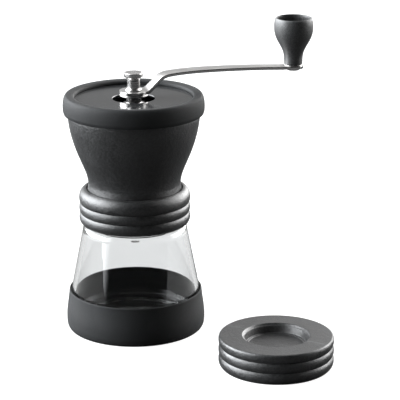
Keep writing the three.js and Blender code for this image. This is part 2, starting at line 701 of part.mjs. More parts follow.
const endNutTop = coreBottom - SEAT - END_WASHER - SEAT;
const shaftBottom = endNutTop - END_NUT_HEIGHT - END_STUD_SPARE;
const lowerFlatsTop = coreTop + FLATS_SPARE;
const upperFlatsBottom = driveWasherBottom - ADJUST_TRAVEL - 3 * SEAT;
const lowerBushBottom = postBottom - SEAT - BUSH_FLANGE;

function shaft() {
  const round = bar(SHAFT_RADIUS, lowerFlatsTop, upperFlatsBottom);
  const lower = keyBar(0, coreBottom - SEAT, lowerFlatsTop + SHAFT_LAP);
  const upper = keyBar(0, upperFlatsBottom - SHAFT_LAP, crankTop);
  const endStud = bar(STUD_RADIUS, shaftBottom, coreBottom);
  const topStud = bar(STUD_RADIUS, crankTop - OVERCUT, crankTop + STUD_LENGTH);
  return join(round, lower, upper, endStud, topStud);
}

// A flat washer with a keyed or a round hole.
function washer(radius, bottom, thickness, hole) {
  return cut(bar(radius, bottom, bottom + thickness), hole);
}

function driveWasher() {
  const hole = keyBar(KEY_FIT, driveWasherBottom - OVERCUT, driveWasherBottom + DRIVE_WASHER + OVERCUT);
  return washer(DRIVE_WASHER_RADIUS, driveWasherBottom, DRIVE_WASHER, hole);
}

function adjustNut() {
  const top = adjustNutBottom + ADJUST_NUT_HEIGHT;
  const boreRadius = SHAFT_RADIUS + KEY_FIT;
  const outline = [
    [boreRadius, adjustNutBottom],
    [ADJUST_FLANGE_RADIUS, adjustNutBottom],
    [ADJUST_FLANGE_RADIUS, adjustNutBottom + ADJUST_FLANGE],
    [ADJUST_COLLAR_RADIUS, adjustNutBottom + ADJUST_FLANGE + ADJUST_FILLET],
    [ADJUST_COLLAR_RADIUS, top],
    [boreRadius, top],
  ];
  const notch = block(2 * SHAFT_RADIUS, ADJUST_NOTCH_WIDTH, 2 * ADJUST_NOTCH_DEPTH, ADJUST_COLLAR_RADIUS, 0, top);
  return cut(turnedSolid(outline, SMALL_FACETS), ...spread(notch, ADJUST_NOTCHES));
}

function lockRing() {
  const hole = keyBar(KEY_FIT, lockRingBottom - OVERCUT, lockRingBottom + LOCK_RING + OVERCUT);
  return washer(CRANK_HUB_RADIUS, lockRingBottom, LOCK_RING, hole);
}

function endNut() {
  const hexagon = turnedSolid([[0, endNutTop - END_NUT_HEIGHT], [END_NUT_RADIUS, endNutTop - END_NUT_HEIGHT],
    [END_NUT_RADIUS, endNutTop], [0, endNutTop]], 6);
  return cut(hexagon, bar(STUD_RADIUS + SEAT, shaftBottom - OVERCUT, endNutTop + OVERCUT));
}

function endWasher() {
  const hole = bar(STUD_RADIUS + SEAT, endNutTop - OVERCUT, coreBottom + OVERCUT);
  return washer(END_WASHER_RADIUS, endNutTop + SEAT, END_WASHER, hole);
}

// The round wire of the compression spring, wound round the shaft.
class SpringPath extends THREE.Curve {
  getPoint(share, target = new THREE.Vector3()) {
    const angle = share * SPRING_COILS * 2 * Math.PI;
    const low = springBottom + SPRING_WIRE;
    const high = lowerBushBottom - SEAT - SPRING_WIRE;
    const height = THREE.MathUtils.lerp(low, high, share);
    return target.set(SPRING_RADIUS * Math.cos(angle), SPRING_RADIUS * Math.sin(angle), height);
  }
}

const springWasherBottom = coreTop + SEAT;
const springBottom = springWasherBottom + SPRING_WASHER + SEAT;

function spring() {
  const section = new THREE.Shape();
  section.absarc(0, 0, SPRING_WIRE, 0, 2 * Math.PI);
  const options = { steps: SPRING_COILS * SPRING_STEPS, curveSegments: 3, extrudePath: new SpringPath() };
  return new THREE.ExtrudeGeometry(section, { ...options, bevelEnabled: false });
}

function springWasher() {
  const hole = bar(SHAFT_RADIUS + KEY_FIT, coreTop, coreTop + 2 * SPRING_WASHER);
  return washer(SPRING_WASHER_RADIUS, springWasherBottom, SPRING_WASHER, hole);
}

// ---- Crank -----------------------------------------------------------------------------------------------

const armHigh = crankTop + CRANK_RISE;
const armAtKnob = armHigh - CRANK_FALL;

// The middle line of the arm's top face, in X and Z.
function armTopLine() {
  const hubEdge = CRANK_HUB_RADIUS;
  const ramp = CRANK_RISE * 0.72;
  const path = new THREE.Path();
  path.moveTo(-hubEdge - 2, crankTop);
  path.lineTo(hubEdge - 2.4, crankTop);
  path.quadraticCurveTo(hubEdge - 0.9, crankTop, hubEdge + 0.4, crankTop + 1.3);
  path.lineTo(hubEdge + ramp - 1.6, crankTop + ramp - 0.7);
  path.quadraticCurveTo(hubEdge + ramp + 1.4, crankTop + ramp + 1.8, hubEdge + ramp + 6, armHigh - 1.2);
  path.quadraticCurveTo(hubEdge + ramp + 16, armHigh, CRANK_LENGTH * 0.45, armHigh);
  path.quadraticCurveTo(CRANK_LENGTH * 0.7, armHigh, CRANK_LENGTH - CRANK_END_RADIUS - 2, armAtKnob);
  path.lineTo(CRANK_LENGTH + 2 * CRANK_END_RADIUS, armAtKnob);
  return path.getPoints(7);
}

// The bent strip seen from the side, extruded over more than its width.
function armSide() {
  const top = armTopLine();
  const under = top.map((point, index) => {
    const before = top[Math.max(0, index - 1)];
    const after = top[Math.min(top.length - 1, index + 1)];
    const along = new THREE.Vector2().subVectors(after, before).normalize();
    return new THREE.Vector2(point.x + along.y * CRANK_THICKNESS, point.y - along.x * CRANK_THICKNESS);
  });
  const shape = new THREE.Shape([...under, ...top.reverse()]);
  const width = 3 * CRANK_HUB_RADIUS;
  const strip = new THREE.ExtrudeGeometry(shape, { depth: width, bevelEnabled: false });
  return asSolid(strip.translate(0, 0, -width / 2).rotateX(Math.PI / 2));
}

// The arm's outline seen from above: round hub, hollow fillets, tapering strip and round end.
function armPlan() {
  const rootHalf = CRANK_ROOT_WIDTH / 2;
  const endHalf = CRANK_END_WIDTH / 2;
  const hubAngle = Math.asin((rootHalf + CRANK_FILLET) / (CRANK_HUB_RADIUS + CRANK_FILLET));
  const rootX = (CRANK_HUB_RADIUS + CRANK_FILLET) * Math.cos(hubAngle);
  const endAngle = Math.asin(endHalf / CRANK_END_RADIUS);
  const endX = CRANK_LENGTH - CRANK_END_RADIUS * Math.cos(endAngle);
  const fillet = rootHalf + CRANK_FILLET;
  const shape = new THREE.Shape();
  shape.absarc(0, 0, CRANK_HUB_RADIUS, hubAngle, 2 * Math.PI - hubAngle);
  shape.absarc(rootX, -fillet, CRANK_FILLET, Math.PI - hubAngle, Math.PI / 2, true);
  shape.lineTo(endX - 2, -endHalf);
  shape.absarc(CRANK_LENGTH, 0, CRANK_END_RADIUS, Math.PI + endAngle, 3 * Math.PI - endAngle);
  shape.lineTo(endX - 2, endHalf);
  shape.absarc(rootX, fillet, CRANK_FILLET, -Math.PI / 2, Math.PI + hubAngle, true);
  return plate(shape, crankBottom - OVERCUT, armHigh - crankBottom + 2 * OVERCUT, 10);
}

function crankArm() {
  const hole = keyBar(KEY_FIT, crankBottom - OVERCUT, crankTop + OVERCUT);
  const studHole = bar(KNOB_STUD_RADIUS + SEAT, armAtKnob - 2 * CRANK_THICKNESS, armAtKnob + CRANK_THICKNESS)
    .translate([CRANK_LENGTH, 0, 0]);
  return cut(armSide().intersect(armPlan()), hole, studHole);
}

function crankNut() {
  const top = crankNutBottom + NUT_HEIGHT;
  const capBottom = top - NUT_CAP_HEIGHT;
  const boreTop = crankTop + STUD_LENGTH + STUD_HEADROOM;
  const outline = [
    [0, boreTop],
    [STUD_RADIUS + SEAT, boreTop],
    [STUD_RADIUS + SEAT, crankNutBottom],
    [NUT_FOOT_RADIUS, crankNutBottom],
    [NUT_FOOT_RADIUS, crankNutBottom + NUT_FOOT_HEIGHT],
    [NUT_NECK_RADIUS, crankNutBottom + 2 * NUT_FOOT_HEIGHT],
    ...corner([NUT_NECK_RADIUS, capBottom - NUT_CAP_ROUND], [NUT_NECK_RADIUS, capBottom],
      [NUT_CAP_RADIUS - EDGE_BREAK, capBottom]),
    [NUT_CAP_RADIUS, capBottom + EDGE_BREAK],
    [NUT_CAP_RADIUS, top - EDGE_BREAK],
    [NUT_CAP_RADIUS - EDGE_BREAK, top],
    [0, top],
  ];
  return turned(outline, SMALL_FACETS);
}

// ---- Knob ------------------------------------------------------------------------------------------------

const knobWasherBottom = armAtKnob + SEAT;
const knobBottom = knobWasherBottom + KNOB_WASHER + SEAT;
const knobTop = knobBottom + KNOB_HEIGHT;
const knobFloor = knobBottom + KNOB_FLOOR_HEIGHT;

function knob() {
  const neckTop = knobBottom + KNOB_NECK_HEIGHT;
  const belly = knobBottom + KNOB_HEIGHT * KNOB_BELLY_SHARE;
  const boreRadius = KNOB_STUD_RADIUS + RUNNING_FIT;
  const outside = [
    [KNOB_NECK_RADIUS, knobBottom],
    ...curve([KNOB_NECK_RADIUS, neckTop], [KNOB_NECK_RADIUS, neckTop + 9], [KNOB_RADIUS, belly - 10],
      [KNOB_RADIUS, belly], 9),
    ...curve([KNOB_RADIUS - 0.05, belly + 2], [KNOB_RADIUS - 0.3, knobTop - 1.2],
      [KNOB_RADIUS - 0.6, knobTop], [KNOB_RADIUS - 1.3, knobTop], 3),
  ];
  const innerRadius = KNOB_RADIUS - KNOB_WALL;
  const inside = [
    [innerRadius, knobTop - EDGE_BREAK],
    ...curve([innerRadius, belly], [innerRadius, belly - 10], [KNOB_STUD_HEAD + 0.8, knobFloor + 6],
      [KNOB_STUD_HEAD + 0.6, knobFloor], 6),
    [boreRadius, knobFloor],
  ];
  return turned([[boreRadius, knobBottom], ...outside, ...inside], KNOB_FACETS);
}

function knobStud() {
  const under = armAtKnob - CRANK_THICKNESS - SEAT;
  const headBottom = knobFloor + SEAT;
  const outline = [
    [0, under - KNOB_RIVET_HEIGHT],
    [KNOB_STUD_HEAD - KNOB_STUD_BEVEL, under - KNOB_RIVET_HEIGHT],
    [KNOB_STUD_HEAD, under - KNOB_RIVET_HEIGHT / 3],
    [KNOB_STUD_HEAD, under],
    [KNOB_STUD_RADIUS, under],
    [KNOB_STUD_RADIUS, headBottom],
    [KNOB_STUD_HEAD, headBottom],
    [KNOB_STUD_HEAD, headBottom + KNOB_STUD_HEAD_HEIGHT / 2],
    [KNOB_STUD_HEAD - KNOB_STUD_BEVEL, headBottom + KNOB_STUD_HEAD_HEIGHT],
    [0, headBottom + KNOB_STUD_HEAD_HEIGHT],
  ];
  return turnedSolid(outline, SMALL_FACETS).translate([CRANK_LENGTH, 0, 0]);
}

function knobWasher() {
  const ring = ringOutline(KNOB_STUD_RADIUS + SEAT, KNOB_WASHER_RADIUS, knobWasherBottom,
    knobWasherBottom + KNOB_WASHER);
  return turnedSolid(ring, SMALL_FACETS).translate([CRANK_LENGTH, 0, 0]);
}

// ---- Lid -------------------------------------------------------------------------------------------------

function lidRim() {
  const lipBottom = hopperMouth + SEAT;
  const bore = HOPPER_TOP_RADIUS + SIDE_FIT;
  const windowTop = windowBottom + WINDOW_THICKNESS;
  const outline = [
    [bore, hopperMouth - LID_SKIRT],
    [LID_RADIUS - 2 * EDGE_BREAK, hopperMouth - LID_SKIRT],
    [LID_RADIUS - EDGE_BREAK / 2, hopperMouth - LID_SKIRT + 2 * EDGE_BREAK],
    [LID_RADIUS, hopperMouth],
    ...curve([LID_RADIUS, hopperMouth + LID_ROUND], [LID_RADIUS, lidTop - EDGE_BREAK],
      [LID_RADIUS - EDGE_BREAK, lidTop], [LID_RADIUS - LID_ROUND, lidTop], 4),
    ...corner([LID_OPENING_RADIUS + LID_ROUND, lidTop - EDGE_BREAK], [LID_OPENING_RADIUS, lidTop - EDGE_BREAK],
      [LID_OPENING_RADIUS, lidTop - LID_ROUND * 0.7]),
    [LID_OPENING_RADIUS, windowTop + SEAT],
    [WINDOW_RADIUS + SEAT, windowTop + SEAT],
    [WINDOW_RADIUS + SEAT, windowBottom - SEAT],
    [LID_LIP_RADIUS, windowBottom - SEAT],
    [LID_LIP_RADIUS, lipBottom],
    [bore, lipBottom],
  ];
  return turned(outline);
}

function lidWindow() {
  const top = windowBottom + WINDOW_THICKNESS;
  return turned([
    [WINDOW_HOLE_RADIUS, windowBottom],
    [WINDOW_RADIUS, windowBottom],
    [WINDOW_RADIUS, top],
    [WINDOW_HOLE_RADIUS + EDGE_BREAK, top],
    [WINDOW_HOLE_RADIUS, top - EDGE_BREAK],
  ]);
}

// ---- Storage lid -----------------------------------------------------------------------------------------

function storageLid() {
  const [low, high] = skirtThread(0);
  const top = STORAGE_HEIGHT;
  const recessFloor = top - STORAGE_RECESS_DEPTH;
  const roof = top - STORAGE_TOP;
  const ringInner = STORAGE_RECESS_RADIUS + STORAGE_TOP;
  const sealTop = STORAGE_SEAL_HEIGHT + SEAL_THICKNESS + SEAT;
  const topRibHeight = SKIRT_FOOT + (RIB_COUNT - 0.5) * RIB_PITCH;
  const outline = [
    [0, recessFloor - STORAGE_FLOOR],
    [STORAGE_FLOOR_RADIUS + STORAGE_FLOOR, recessFloor - STORAGE_FLOOR],
    [ringInner, recessFloor],
    [ringInner, roof],
    [JAR_NECK_RADIUS - JAR_WALL, roof],
    [JAR_NECK_RADIUS - JAR_WALL, sealTop],
    [threadBore, sealTop],
    ...threadedWall(threadBore, low, high).reverse(),
    [threadBore, 0],
    ...ribbedWall(0).slice(0, -1),
    [SKIRT_RADIUS, topRibHeight],
    ...curve([SKIRT_RADIUS, topRibHeight + EDGE_BREAK], [SKIRT_RADIUS, top - EDGE_BREAK],
      [SKIRT_RADIUS - EDGE_BREAK, top], [SKIRT_RADIUS - 3 * EDGE_BREAK, top], 4),
    ...corner([STORAGE_RECESS_RADIUS + 2 * EDGE_BREAK, top], [STORAGE_RECESS_RADIUS, top],
      [STORAGE_RECESS_RADIUS, top - STORAGE_LIP_DROP]),
    [STORAGE_FLOOR_RADIUS + 2 * STORAGE_FLOOR_FILLET, recessFloor + STORAGE_FLOOR_FILLET],
    [STORAGE_FLOOR_RADIUS, recessFloor],
    [0, recessFloor],
  ];
  return raiseThread(turned(outline), threadBore, low, high, -THREAD_DEPTH);
}

function storageLidSeal() {
  const ring = ringOutline(JAR_NECK_RADIUS - JAR_WALL + SEAL_INSET, threadBore - SIDE_FIT,
    STORAGE_SEAL_HEIGHT, STORAGE_SEAL_HEIGHT + SEAL_THICKNESS);
  return turned(ring);
}

// ---- The whole mill --------------------------------------------------------------------------------------

addPiece("rubber_base", rubberBase(), finishes.softRubber);
addPiece("glass_jar", glassJar(), finishes.clearGlass);
addPiece("jar_seal", jarSeal(), finishes.sealRubber);
addPiece("screw_collar", screwCollar(), finishes.satinPlastic);
addPiece("hopper", hopper(), finishes.satinPlastic);
addPiece("upper_bush", bush(bushTop - BUSH_FLANGE - BUSH_LENGTH + BUSH_SINK, bushTop - BUSH_FLANGE),
  finishes.bushPlastic);
addPiece("lower_bush", bush(lowerBushBottom, lowerBushBottom), finishes.bushPlastic);
addPiece("burr_carrier", burrCarrier(), finishes.satinPlastic);
for (let index = 0; index < SCREW_COUNT; index += 1) {
  const angle = (index * 2 * Math.PI) / SCREW_COUNT;
  addPiece(`carrier_screw_${index + 1}`, carrierScrew(angle), finishes.steel);
}
addPiece("outer_burr", outerBurr(), finishes.ceramic);
addPiece("drive_washer", driveWasher(), finishes.steel);
addPiece("adjust_nut", adjustNut(), finishes.chrome);
addPiece("shaft", shaft(), finishes.steel);
addPiece("burr_core", burrCore(), finishes.bushPlastic);
addPiece("inner_burr", innerBurr(), finishes.ceramic);
addPiece("end_washer", endWasher(), finishes.steel);
addPiece("end_nut", endNut(), finishes.steel);
addPiece("spring_washer", springWasher(), finishes.steel);
addPiece("spring", spring(), finishes.steel);
addPiece("lock_ring", lockRing(), finishes.chrome);
addPiece("crank_arm", crankArm(), finishes.chrome);
addPiece("knob_stud", knobStud(), finishes.steel);
addPiece("knob_washer", knobWasher(), finishes.steel);
addPiece("crank_nut", crankNut(), finishes.chrome);
const turningKnob = addPiece("knob", knob(), finishes.knobPlastic);
turningKnob.position.x = CRANK_LENGTH;
addPiece("lid_rim", lidRim(), finishes.softRubber);
addPiece("lid_window", lidWindow(), finishes.smokedPlastic);
for (const piece of [
  addPiece("storage_lid", storageLid(), finishes.satinPlastic),
  addPiece("storage_lid_seal", storageLidSeal(), finishes.sealRubber),
]) {
  piece.position.set(STORAGE_X, STORAGE_Y, 0);
}

export default grinder;
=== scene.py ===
"""Looks of a hand crank coffee grinder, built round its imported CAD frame.

Every turned piece is an outline drawn vertex by vertex and spun about its axis, the crank is a strip drawn
out section by section, and threads and the spring are sections wound up with a Screw modifier. Outlines and
sizes are in millimetres and are made metres where a mesh is made.
"""
import logging
import math
from dataclasses import dataclass, field
from enum import Enum
from typing import Callable, ClassVar

import bpy
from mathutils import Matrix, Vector
from mathutils.geometry import interpolate_bezier


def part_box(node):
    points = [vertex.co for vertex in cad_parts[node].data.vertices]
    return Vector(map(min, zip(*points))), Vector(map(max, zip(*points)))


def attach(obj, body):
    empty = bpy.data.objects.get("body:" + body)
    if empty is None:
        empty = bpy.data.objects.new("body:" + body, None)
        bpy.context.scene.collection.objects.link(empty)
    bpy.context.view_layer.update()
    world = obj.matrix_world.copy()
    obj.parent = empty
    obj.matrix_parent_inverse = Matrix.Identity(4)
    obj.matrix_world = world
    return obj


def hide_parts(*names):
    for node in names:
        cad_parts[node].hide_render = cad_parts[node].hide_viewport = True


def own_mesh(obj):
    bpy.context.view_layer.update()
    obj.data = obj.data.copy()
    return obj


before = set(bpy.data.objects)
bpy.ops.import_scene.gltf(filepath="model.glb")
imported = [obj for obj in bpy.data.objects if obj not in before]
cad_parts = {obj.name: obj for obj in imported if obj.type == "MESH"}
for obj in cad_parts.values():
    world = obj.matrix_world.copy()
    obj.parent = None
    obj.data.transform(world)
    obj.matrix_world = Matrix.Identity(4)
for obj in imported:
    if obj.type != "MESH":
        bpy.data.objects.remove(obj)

log = logging.getLogger("grinder")

MM = 0.001
TURN_STEPS = 96
ROUND_POINTS = 5
SMOOTH_ANGLE = math.radians(38)
WELD = 1e-6  # metres
SEAT = 0.1  # gap between faces that rest on each other
KEYED_BORE = 3.62  # of what sits on the shaft
LONG_STRETCH = 2.0
SUPPORT = 0.3
FULL_TURN = 2 * math.pi

Outline = list[tuple[float, ...]]
Place = tuple[float, float]


# ---- Sizes taken from the frame --------------------------------------------------------------------------


@dataclass(frozen=True)
class NodeBox:
    """A CAD node's box at rest, in millimetres."""

    node: str
    low: Vector = field(init=False)
    high: Vector = field(init=False)

    def __post_init__(self) -> None:
        """Reads the node's corners from the frame."""
        low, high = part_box(self.node)
        object.__setattr__(self, "low", low / MM)
        object.__setattr__(self, "high", high / MM)

    @property
    def bottom(self) -> float:
        """Lowest height."""
        return self.low.z

    @property
    def top(self) -> float:
        """Highest height."""
        return self.high.z

    @property
    def height(self) -> float:
        """Height from bottom to top."""
        return self.high.z - self.low.z

    @property
    def radius(self) -> float:
        """Half its width along X."""
        return (self.high.x - self.low.x) / 2

    @property
    def centre(self) -> Place:
        """Where its upright axis stands."""
        return ((self.low.x + self.high.x) / 2, (self.low.y + self.high.y) / 2)


# ---- Outlines --------------------------------------------------------------------------------------------


def rounded(outline: Outline, closed: bool) -> list[Vector]:
    """Rounds the corners of an outline that carry a radius.

    Args:
        outline: points of radius and height, each with an optional corner radius.
        closed: whether the last point joins the first.

    Returns:
        The points of the rounded outline, in the XZ plane.
    """
    corners = [Vector((point[0], 0.0, point[1])) for point in outline]
    points: list[Vector] = []
    last = len(outline) - 1
    for index, here in enumerate(corners):
        loose_end = not closed and index in (0, last)
        if len(outline[index]) < 3 or loose_end:
            points.append(here)
            continue
        back = corners[index - 1] - here
        ahead = corners[(index + 1) % len(corners)] - here
        half = back.angle(ahead) / 2
        room = 0.48 * min(back.length, ahead.length)
        reach = min(outline[index][2] / math.tan(half), room)
        pull = 4 / 3 * math.tan((math.pi - 2 * half) / 4) * reach * math.tan(half)
        start, end = here + back.normalized() * reach, here + ahead.normalized() * reach
        start_pull, end_pull = start - back.normalized() * pull, end - ahead.normalized() * pull
        points.extend(interpolate_bezier(start, start_pull, end_pull, end, ROUND_POINTS))
    return points


def curve(start: Place, start_pull: Place, end_pull: Place, end: Place, count: int = 16) -> Outline:
    """Points of a cubic curve between two outline points.

    Args:
        start: first point, as radius and height.
        start_pull: handle of the first point.
        end_pull: handle of the last point.
        end: last point.
        count: number of points.

    Returns:
        The points, first and last included.
    """
    knots = [Vector((x, 0.0, z)) for x, z in (start, start_pull, end_pull, end)]
    return [(point.x, point.z) for point in interpolate_bezier(*knots, count)]


def supported(points: list[Vector]) -> list[Vector]:
    """Adds a point near both ends of every long straight stretch, so that smooth shading keeps it straight.

    Args:
        points: an outline in the XZ plane.

    Returns:
        The outline with its added points.
    """
    result = [points[0]]
    for before, after in zip(points, points[1:]):
        step = after - before
        if step.length > LONG_STRETCH:
            nudge = step.normalized() * SUPPORT
            result.extend((before + nudge, after - nudge))
        result.append(after)
    return result


def square_ring(inner: float, outer: float, bottom: float, top: float, soft: float) -> Outline:
    """Outline of a ring of square section with softened edges."""
    return [(inner, bottom, soft), (outer, bottom, soft), (outer, top, soft), (inner, top, soft)]


# ---- Modelling operators ---------------------------------------------------------------------------------


class Join(Enum):
    """Ways of combining two solids."""

    ADD = "UNION"
    CUT = "DIFFERENCE"
    KEEP = "INTERSECT"


def deselect_all() -> None:
    """Leaves object mode ready for a new primitive, with nothing selected."""
    if bpy.context.object and bpy.context.object.mode != "OBJECT":
        bpy.ops.object.mode_set(mode="OBJECT")
    bpy.ops.object.select_all(action="DESELECT")


def activate(piece: bpy.types.Object) -> None:
    """Selects one object alone and makes it the active one."""
    deselect_all()
    piece.select_set(True)
    bpy.context.view_layer.objects.active = piece


def named(name: str) -> bpy.types.Object:
    """Names the object that was just added and puts its place into its mesh."""
    piece = bpy.context.object
    piece.name = name
    piece.data.name = name
    bpy.ops.object.transform_apply(location=True, rotation=True, scale=True)
    return piece


def close_up(piece: bpy.types.Object) -> None:
    """Welds doubles, turns all faces outwards and leaves edit mode."""
    bpy.ops.mesh.select_all(action="SELECT")
    bpy.ops.mesh.remove_doubles(threshold=WELD)
    bpy.ops.mesh.normals_make_consistent(inside=False)
    bpy.ops.object.mode_set(mode="OBJECT")
    activate(piece)


def smooth(piece: bpy.types.Object) -> bpy.types.Object:
    """Shades a piece smooth, except over its sharp edges."""
    activate(piece)
    bpy.ops.object.shade_smooth_by_angle(angle=SMOOTH_ANGLE)
    return piece


def draw(name: str, points: list[Vector], centre: Place) -> bpy.types.Object:
    """Draws an outline edge by edge from one vertex, and stays in edit mode.

    Args:
        name: name of the new object.
        points: the outline in the XZ plane, from the axis outwards.
        centre: where the axis stands.

    Returns:
        The object, with a chain of edges.
    """
    deselect_all()
    first = points[0]
    start = Vector((centre[0] + first.x, centre[1], first.z)) * MM
    bpy.ops.mesh.primitive_plane_add(size=MM, location=start)
    piece = named(name)
    bpy.ops.object.mode_set(mode="EDIT")
    bpy.ops.mesh.select_all(action="SELECT")
    bpy.ops.mesh.merge(type="CENTER")
    for before, after in zip(points, points[1:]):
        bpy.ops.mesh.extrude_region_move(TRANSFORM_OT_translate={"value": (after - before) * MM})
    return piece


def turned(name: str, outline: Outline, centre: Place = (0.0, 0.0),
           steps: int = TURN_STEPS) -> bpy.types.Object:
    """Turns an outline about an upright axis into a closed solid.

    Args:
        name: name of the new object.
        outline: radius, height and an optional corner radius of each point. It starts and ends on the
            axis, or it is closed by its first point.
        centre: where the axis stands.
        steps: facets of the full turn.

    Returns:
        The finished solid.
    """
    closed = outline[0][0] > 0
    points = rounded(outline, closed)
    if closed:
        points.append(points[0].copy())
    piece = draw(name, supported(points), centre)
    bpy.ops.mesh.select_all(action="SELECT")
    axis_foot = (centre[0] * MM, centre[1] * MM, 0.0)
    bpy.ops.mesh.spin(steps=steps, angle=FULL_TURN, center=axis_foot, axis=(0.0, 0.0, 1.0))
    close_up(piece)
    return smooth(piece)


def wound(name: str, section: Outline, turns: float, pitch: float, steps: int) -> bpy.types.Object:
    """Winds a closed section up round the Z axis, as a thread's ridge or a spring.

    Args:
        name: name of the new object.
        section: the section's points at the lower end.
        turns: number of turns.
        pitch: rise of one turn.
        steps: sections along one turn.

    Returns:
        The wound solid with closed ends.
    """
    points = rounded(section, closed=True)
    points.append(points[0].copy())
    piece = draw(name, points, (0.0, 0.0))
    close_up(piece)
    screw = piece.modifiers.new("wind", "SCREW")
    screw.angle = turns * FULL_TURN
    screw.screw_offset = turns * pitch * MM
    screw.steps = round(turns * steps)
    screw.render_steps = screw.steps
    screw.use_merge_vertices = False
    bpy.ops.object.modifier_apply(modifier=screw.name)
    bpy.ops.object.mode_set(mode="EDIT")
    bpy.ops.mesh.select_all(action="SELECT")
    bpy.ops.mesh.fill_holes(sides=len(points))
    close_up(piece)
    return piece


def combine(piece: bpy.types.Object, tool: bpy.types.Object, how: Join) -> bpy.types.Object:
    """Joins a tool to a piece or cuts it out, and removes the tool.

    Args:
        piece: the solid that stays.
        tool: the other solid.
        how: how they are combined.

    Returns:
        The piece.
    """
    activate(piece)
    boolean = piece.modifiers.new("combine", "BOOLEAN")
    boolean.operation = how.value
    boolean.object = tool
    boolean.solver = "EXACT"
    bpy.ops.object.modifier_apply(modifier=boolean.name)
    bpy.data.objects.remove(tool)
    return piece


def soften_edges(piece: bpy.types.Object, width: float, segments: int = 2) -> bpy.types.Object:
    """Rounds a piece's sharp edges with a Bevel modifier.

    Args:
        piece: the solid.
        width: width of the rounding.
        segments: facets across it.

    Returns:
        The piece.
    """
    activate(piece)
    bevel = piece.modifiers.new("soften", "BEVEL")
    bevel.width = width * MM
    bevel.segments = segments
    bevel.limit_method = "ANGLE"
    bevel.angle_limit = SMOOTH_ANGLE
    bpy.ops.object.modifier_apply(modifier=bevel.name)
    return smooth(piece)


def block(name: str, low: tuple[float, float, float], high: tuple[float, float, float]) -> bpy.types.Object:
    """A box between two corners, for a cut or as the start of a leg."""
    deselect_all()
    corner, other = Vector(low), Vector(high)
    bpy.ops.mesh.primitive_cube_add(size=MM, location=(corner + other) / 2 * MM, scale=other - corner)
    return named(name)


def pick(piece: bpy.types.Object, wanted: Callable[[Vector], bool]) -> None:
    """Enters edit mode with only the vertices selected whose place, in millimetres, passes a test."""
    activate(piece)
    bpy.ops.object.mode_set(mode="EDIT")
    bpy.ops.mesh.select_mode(type="VERT")
    bpy.ops.mesh.select_all(action="DESELECT")
    bpy.ops.object.mode_set(mode="OBJECT")
    for vertex in piece.data.vertices:
        vertex.select = wanted(vertex.co / MM)
    bpy.ops.object.mode_set(mode="EDIT")


def turned_copies(piece: bpy.types.Object, count: int) -> list[bpy.types.Object]:
    """Copies a piece evenly round the Z axis.

    Args:
        piece: the first one.
        count: how many there are in all.

    Returns:
        All of them, the first one included, each with its own mesh.
    """
    copies = [piece]
    for index in range(1, count):
        activate(piece)
        bpy.ops.object.duplicate(linked=False)
        copy = bpy.context.object
        copy.rotation_euler.z = index * FULL_TURN / count
        bpy.ops.object.transform_apply(location=False, rotation=True, scale=False)
        copies.append(copy)
    return copies


# ---- Shader groups ---------------------------------------------------------------------------------------


class Group(Enum):
    """Shader groups that several finishes share."""

    GRAIN = "fine grain"
    HANDLING = "handling marks"
    WEAR = "edge wear"
    DUST = "settled dust"
    LINES = "machined lines"


class Graph:
    """Adds and links the nodes of one shader tree."""

    def __init__(self, tree: bpy.types.NodeTree) -> None:
        """Starts on an empty tree."""
        self.tree = tree
        tree.nodes.clear()

    def add(self, kind: str, values: dict[str, object] | None = None, **settings: object) -> bpy.types.Node:
        """Adds a node.

        Args:
            kind: its type, without the leading ShaderNode.
            values: what its inputs are: plain values, or sockets that are linked to them.
            settings: its properties.

        Returns:
            The node.
        """
        node = self.tree.nodes.new(kind if kind.startswith("Node") else f"ShaderNode{kind}")
        for key, setting in settings.items():
            setattr(node, key, setting)
        for key, value in (values or {}).items():
            socket = node.inputs[key]
            if isinstance(value, bpy.types.NodeSocket):
                self.tree.links.new(value, socket)
            else:
                socket.default_value = value
        return node

    def maths(self, operation: str, first: object, second: object = 0.0) -> bpy.types.NodeSocket:
        """Adds a Math node and returns its result."""
        node = self.add("Math", {0: first, 1: second}, operation=operation)
        return node.outputs[0]

    def ramp(self, factor: bpy.types.NodeSocket, low: float, high: float) -> bpy.types.NodeSocket:
        """Spreads the values between low and high over 0 to 1."""
        node = self.add("MapRange", {"Value": factor, "From Min": low, "From Max": high})
        node.interpolation_type = "SMOOTHSTEP"
        return node.outputs["Result"]

    def blend(self, factor: object, first: object, second: object) -> bpy.types.NodeSocket:
        """Mixes two colours."""
        node = self.add("Mix", data_type="RGBA")
        for index, value in ((0, factor), (6, first), (7, second)):
            if isinstance(value, bpy.types.NodeSocket):
                self.tree.links.new(value, node.inputs[index])
            else:
                node.inputs[index].default_value = value
        return node.outputs[2]

    def between(self, factor: object, first: float, second: float) -> bpy.types.NodeSocket:
        """Mixes two numbers."""
        node = self.add("MapRange", {"Value": factor, "To Min": first, "To Max": second})
        return node.outputs["Result"]


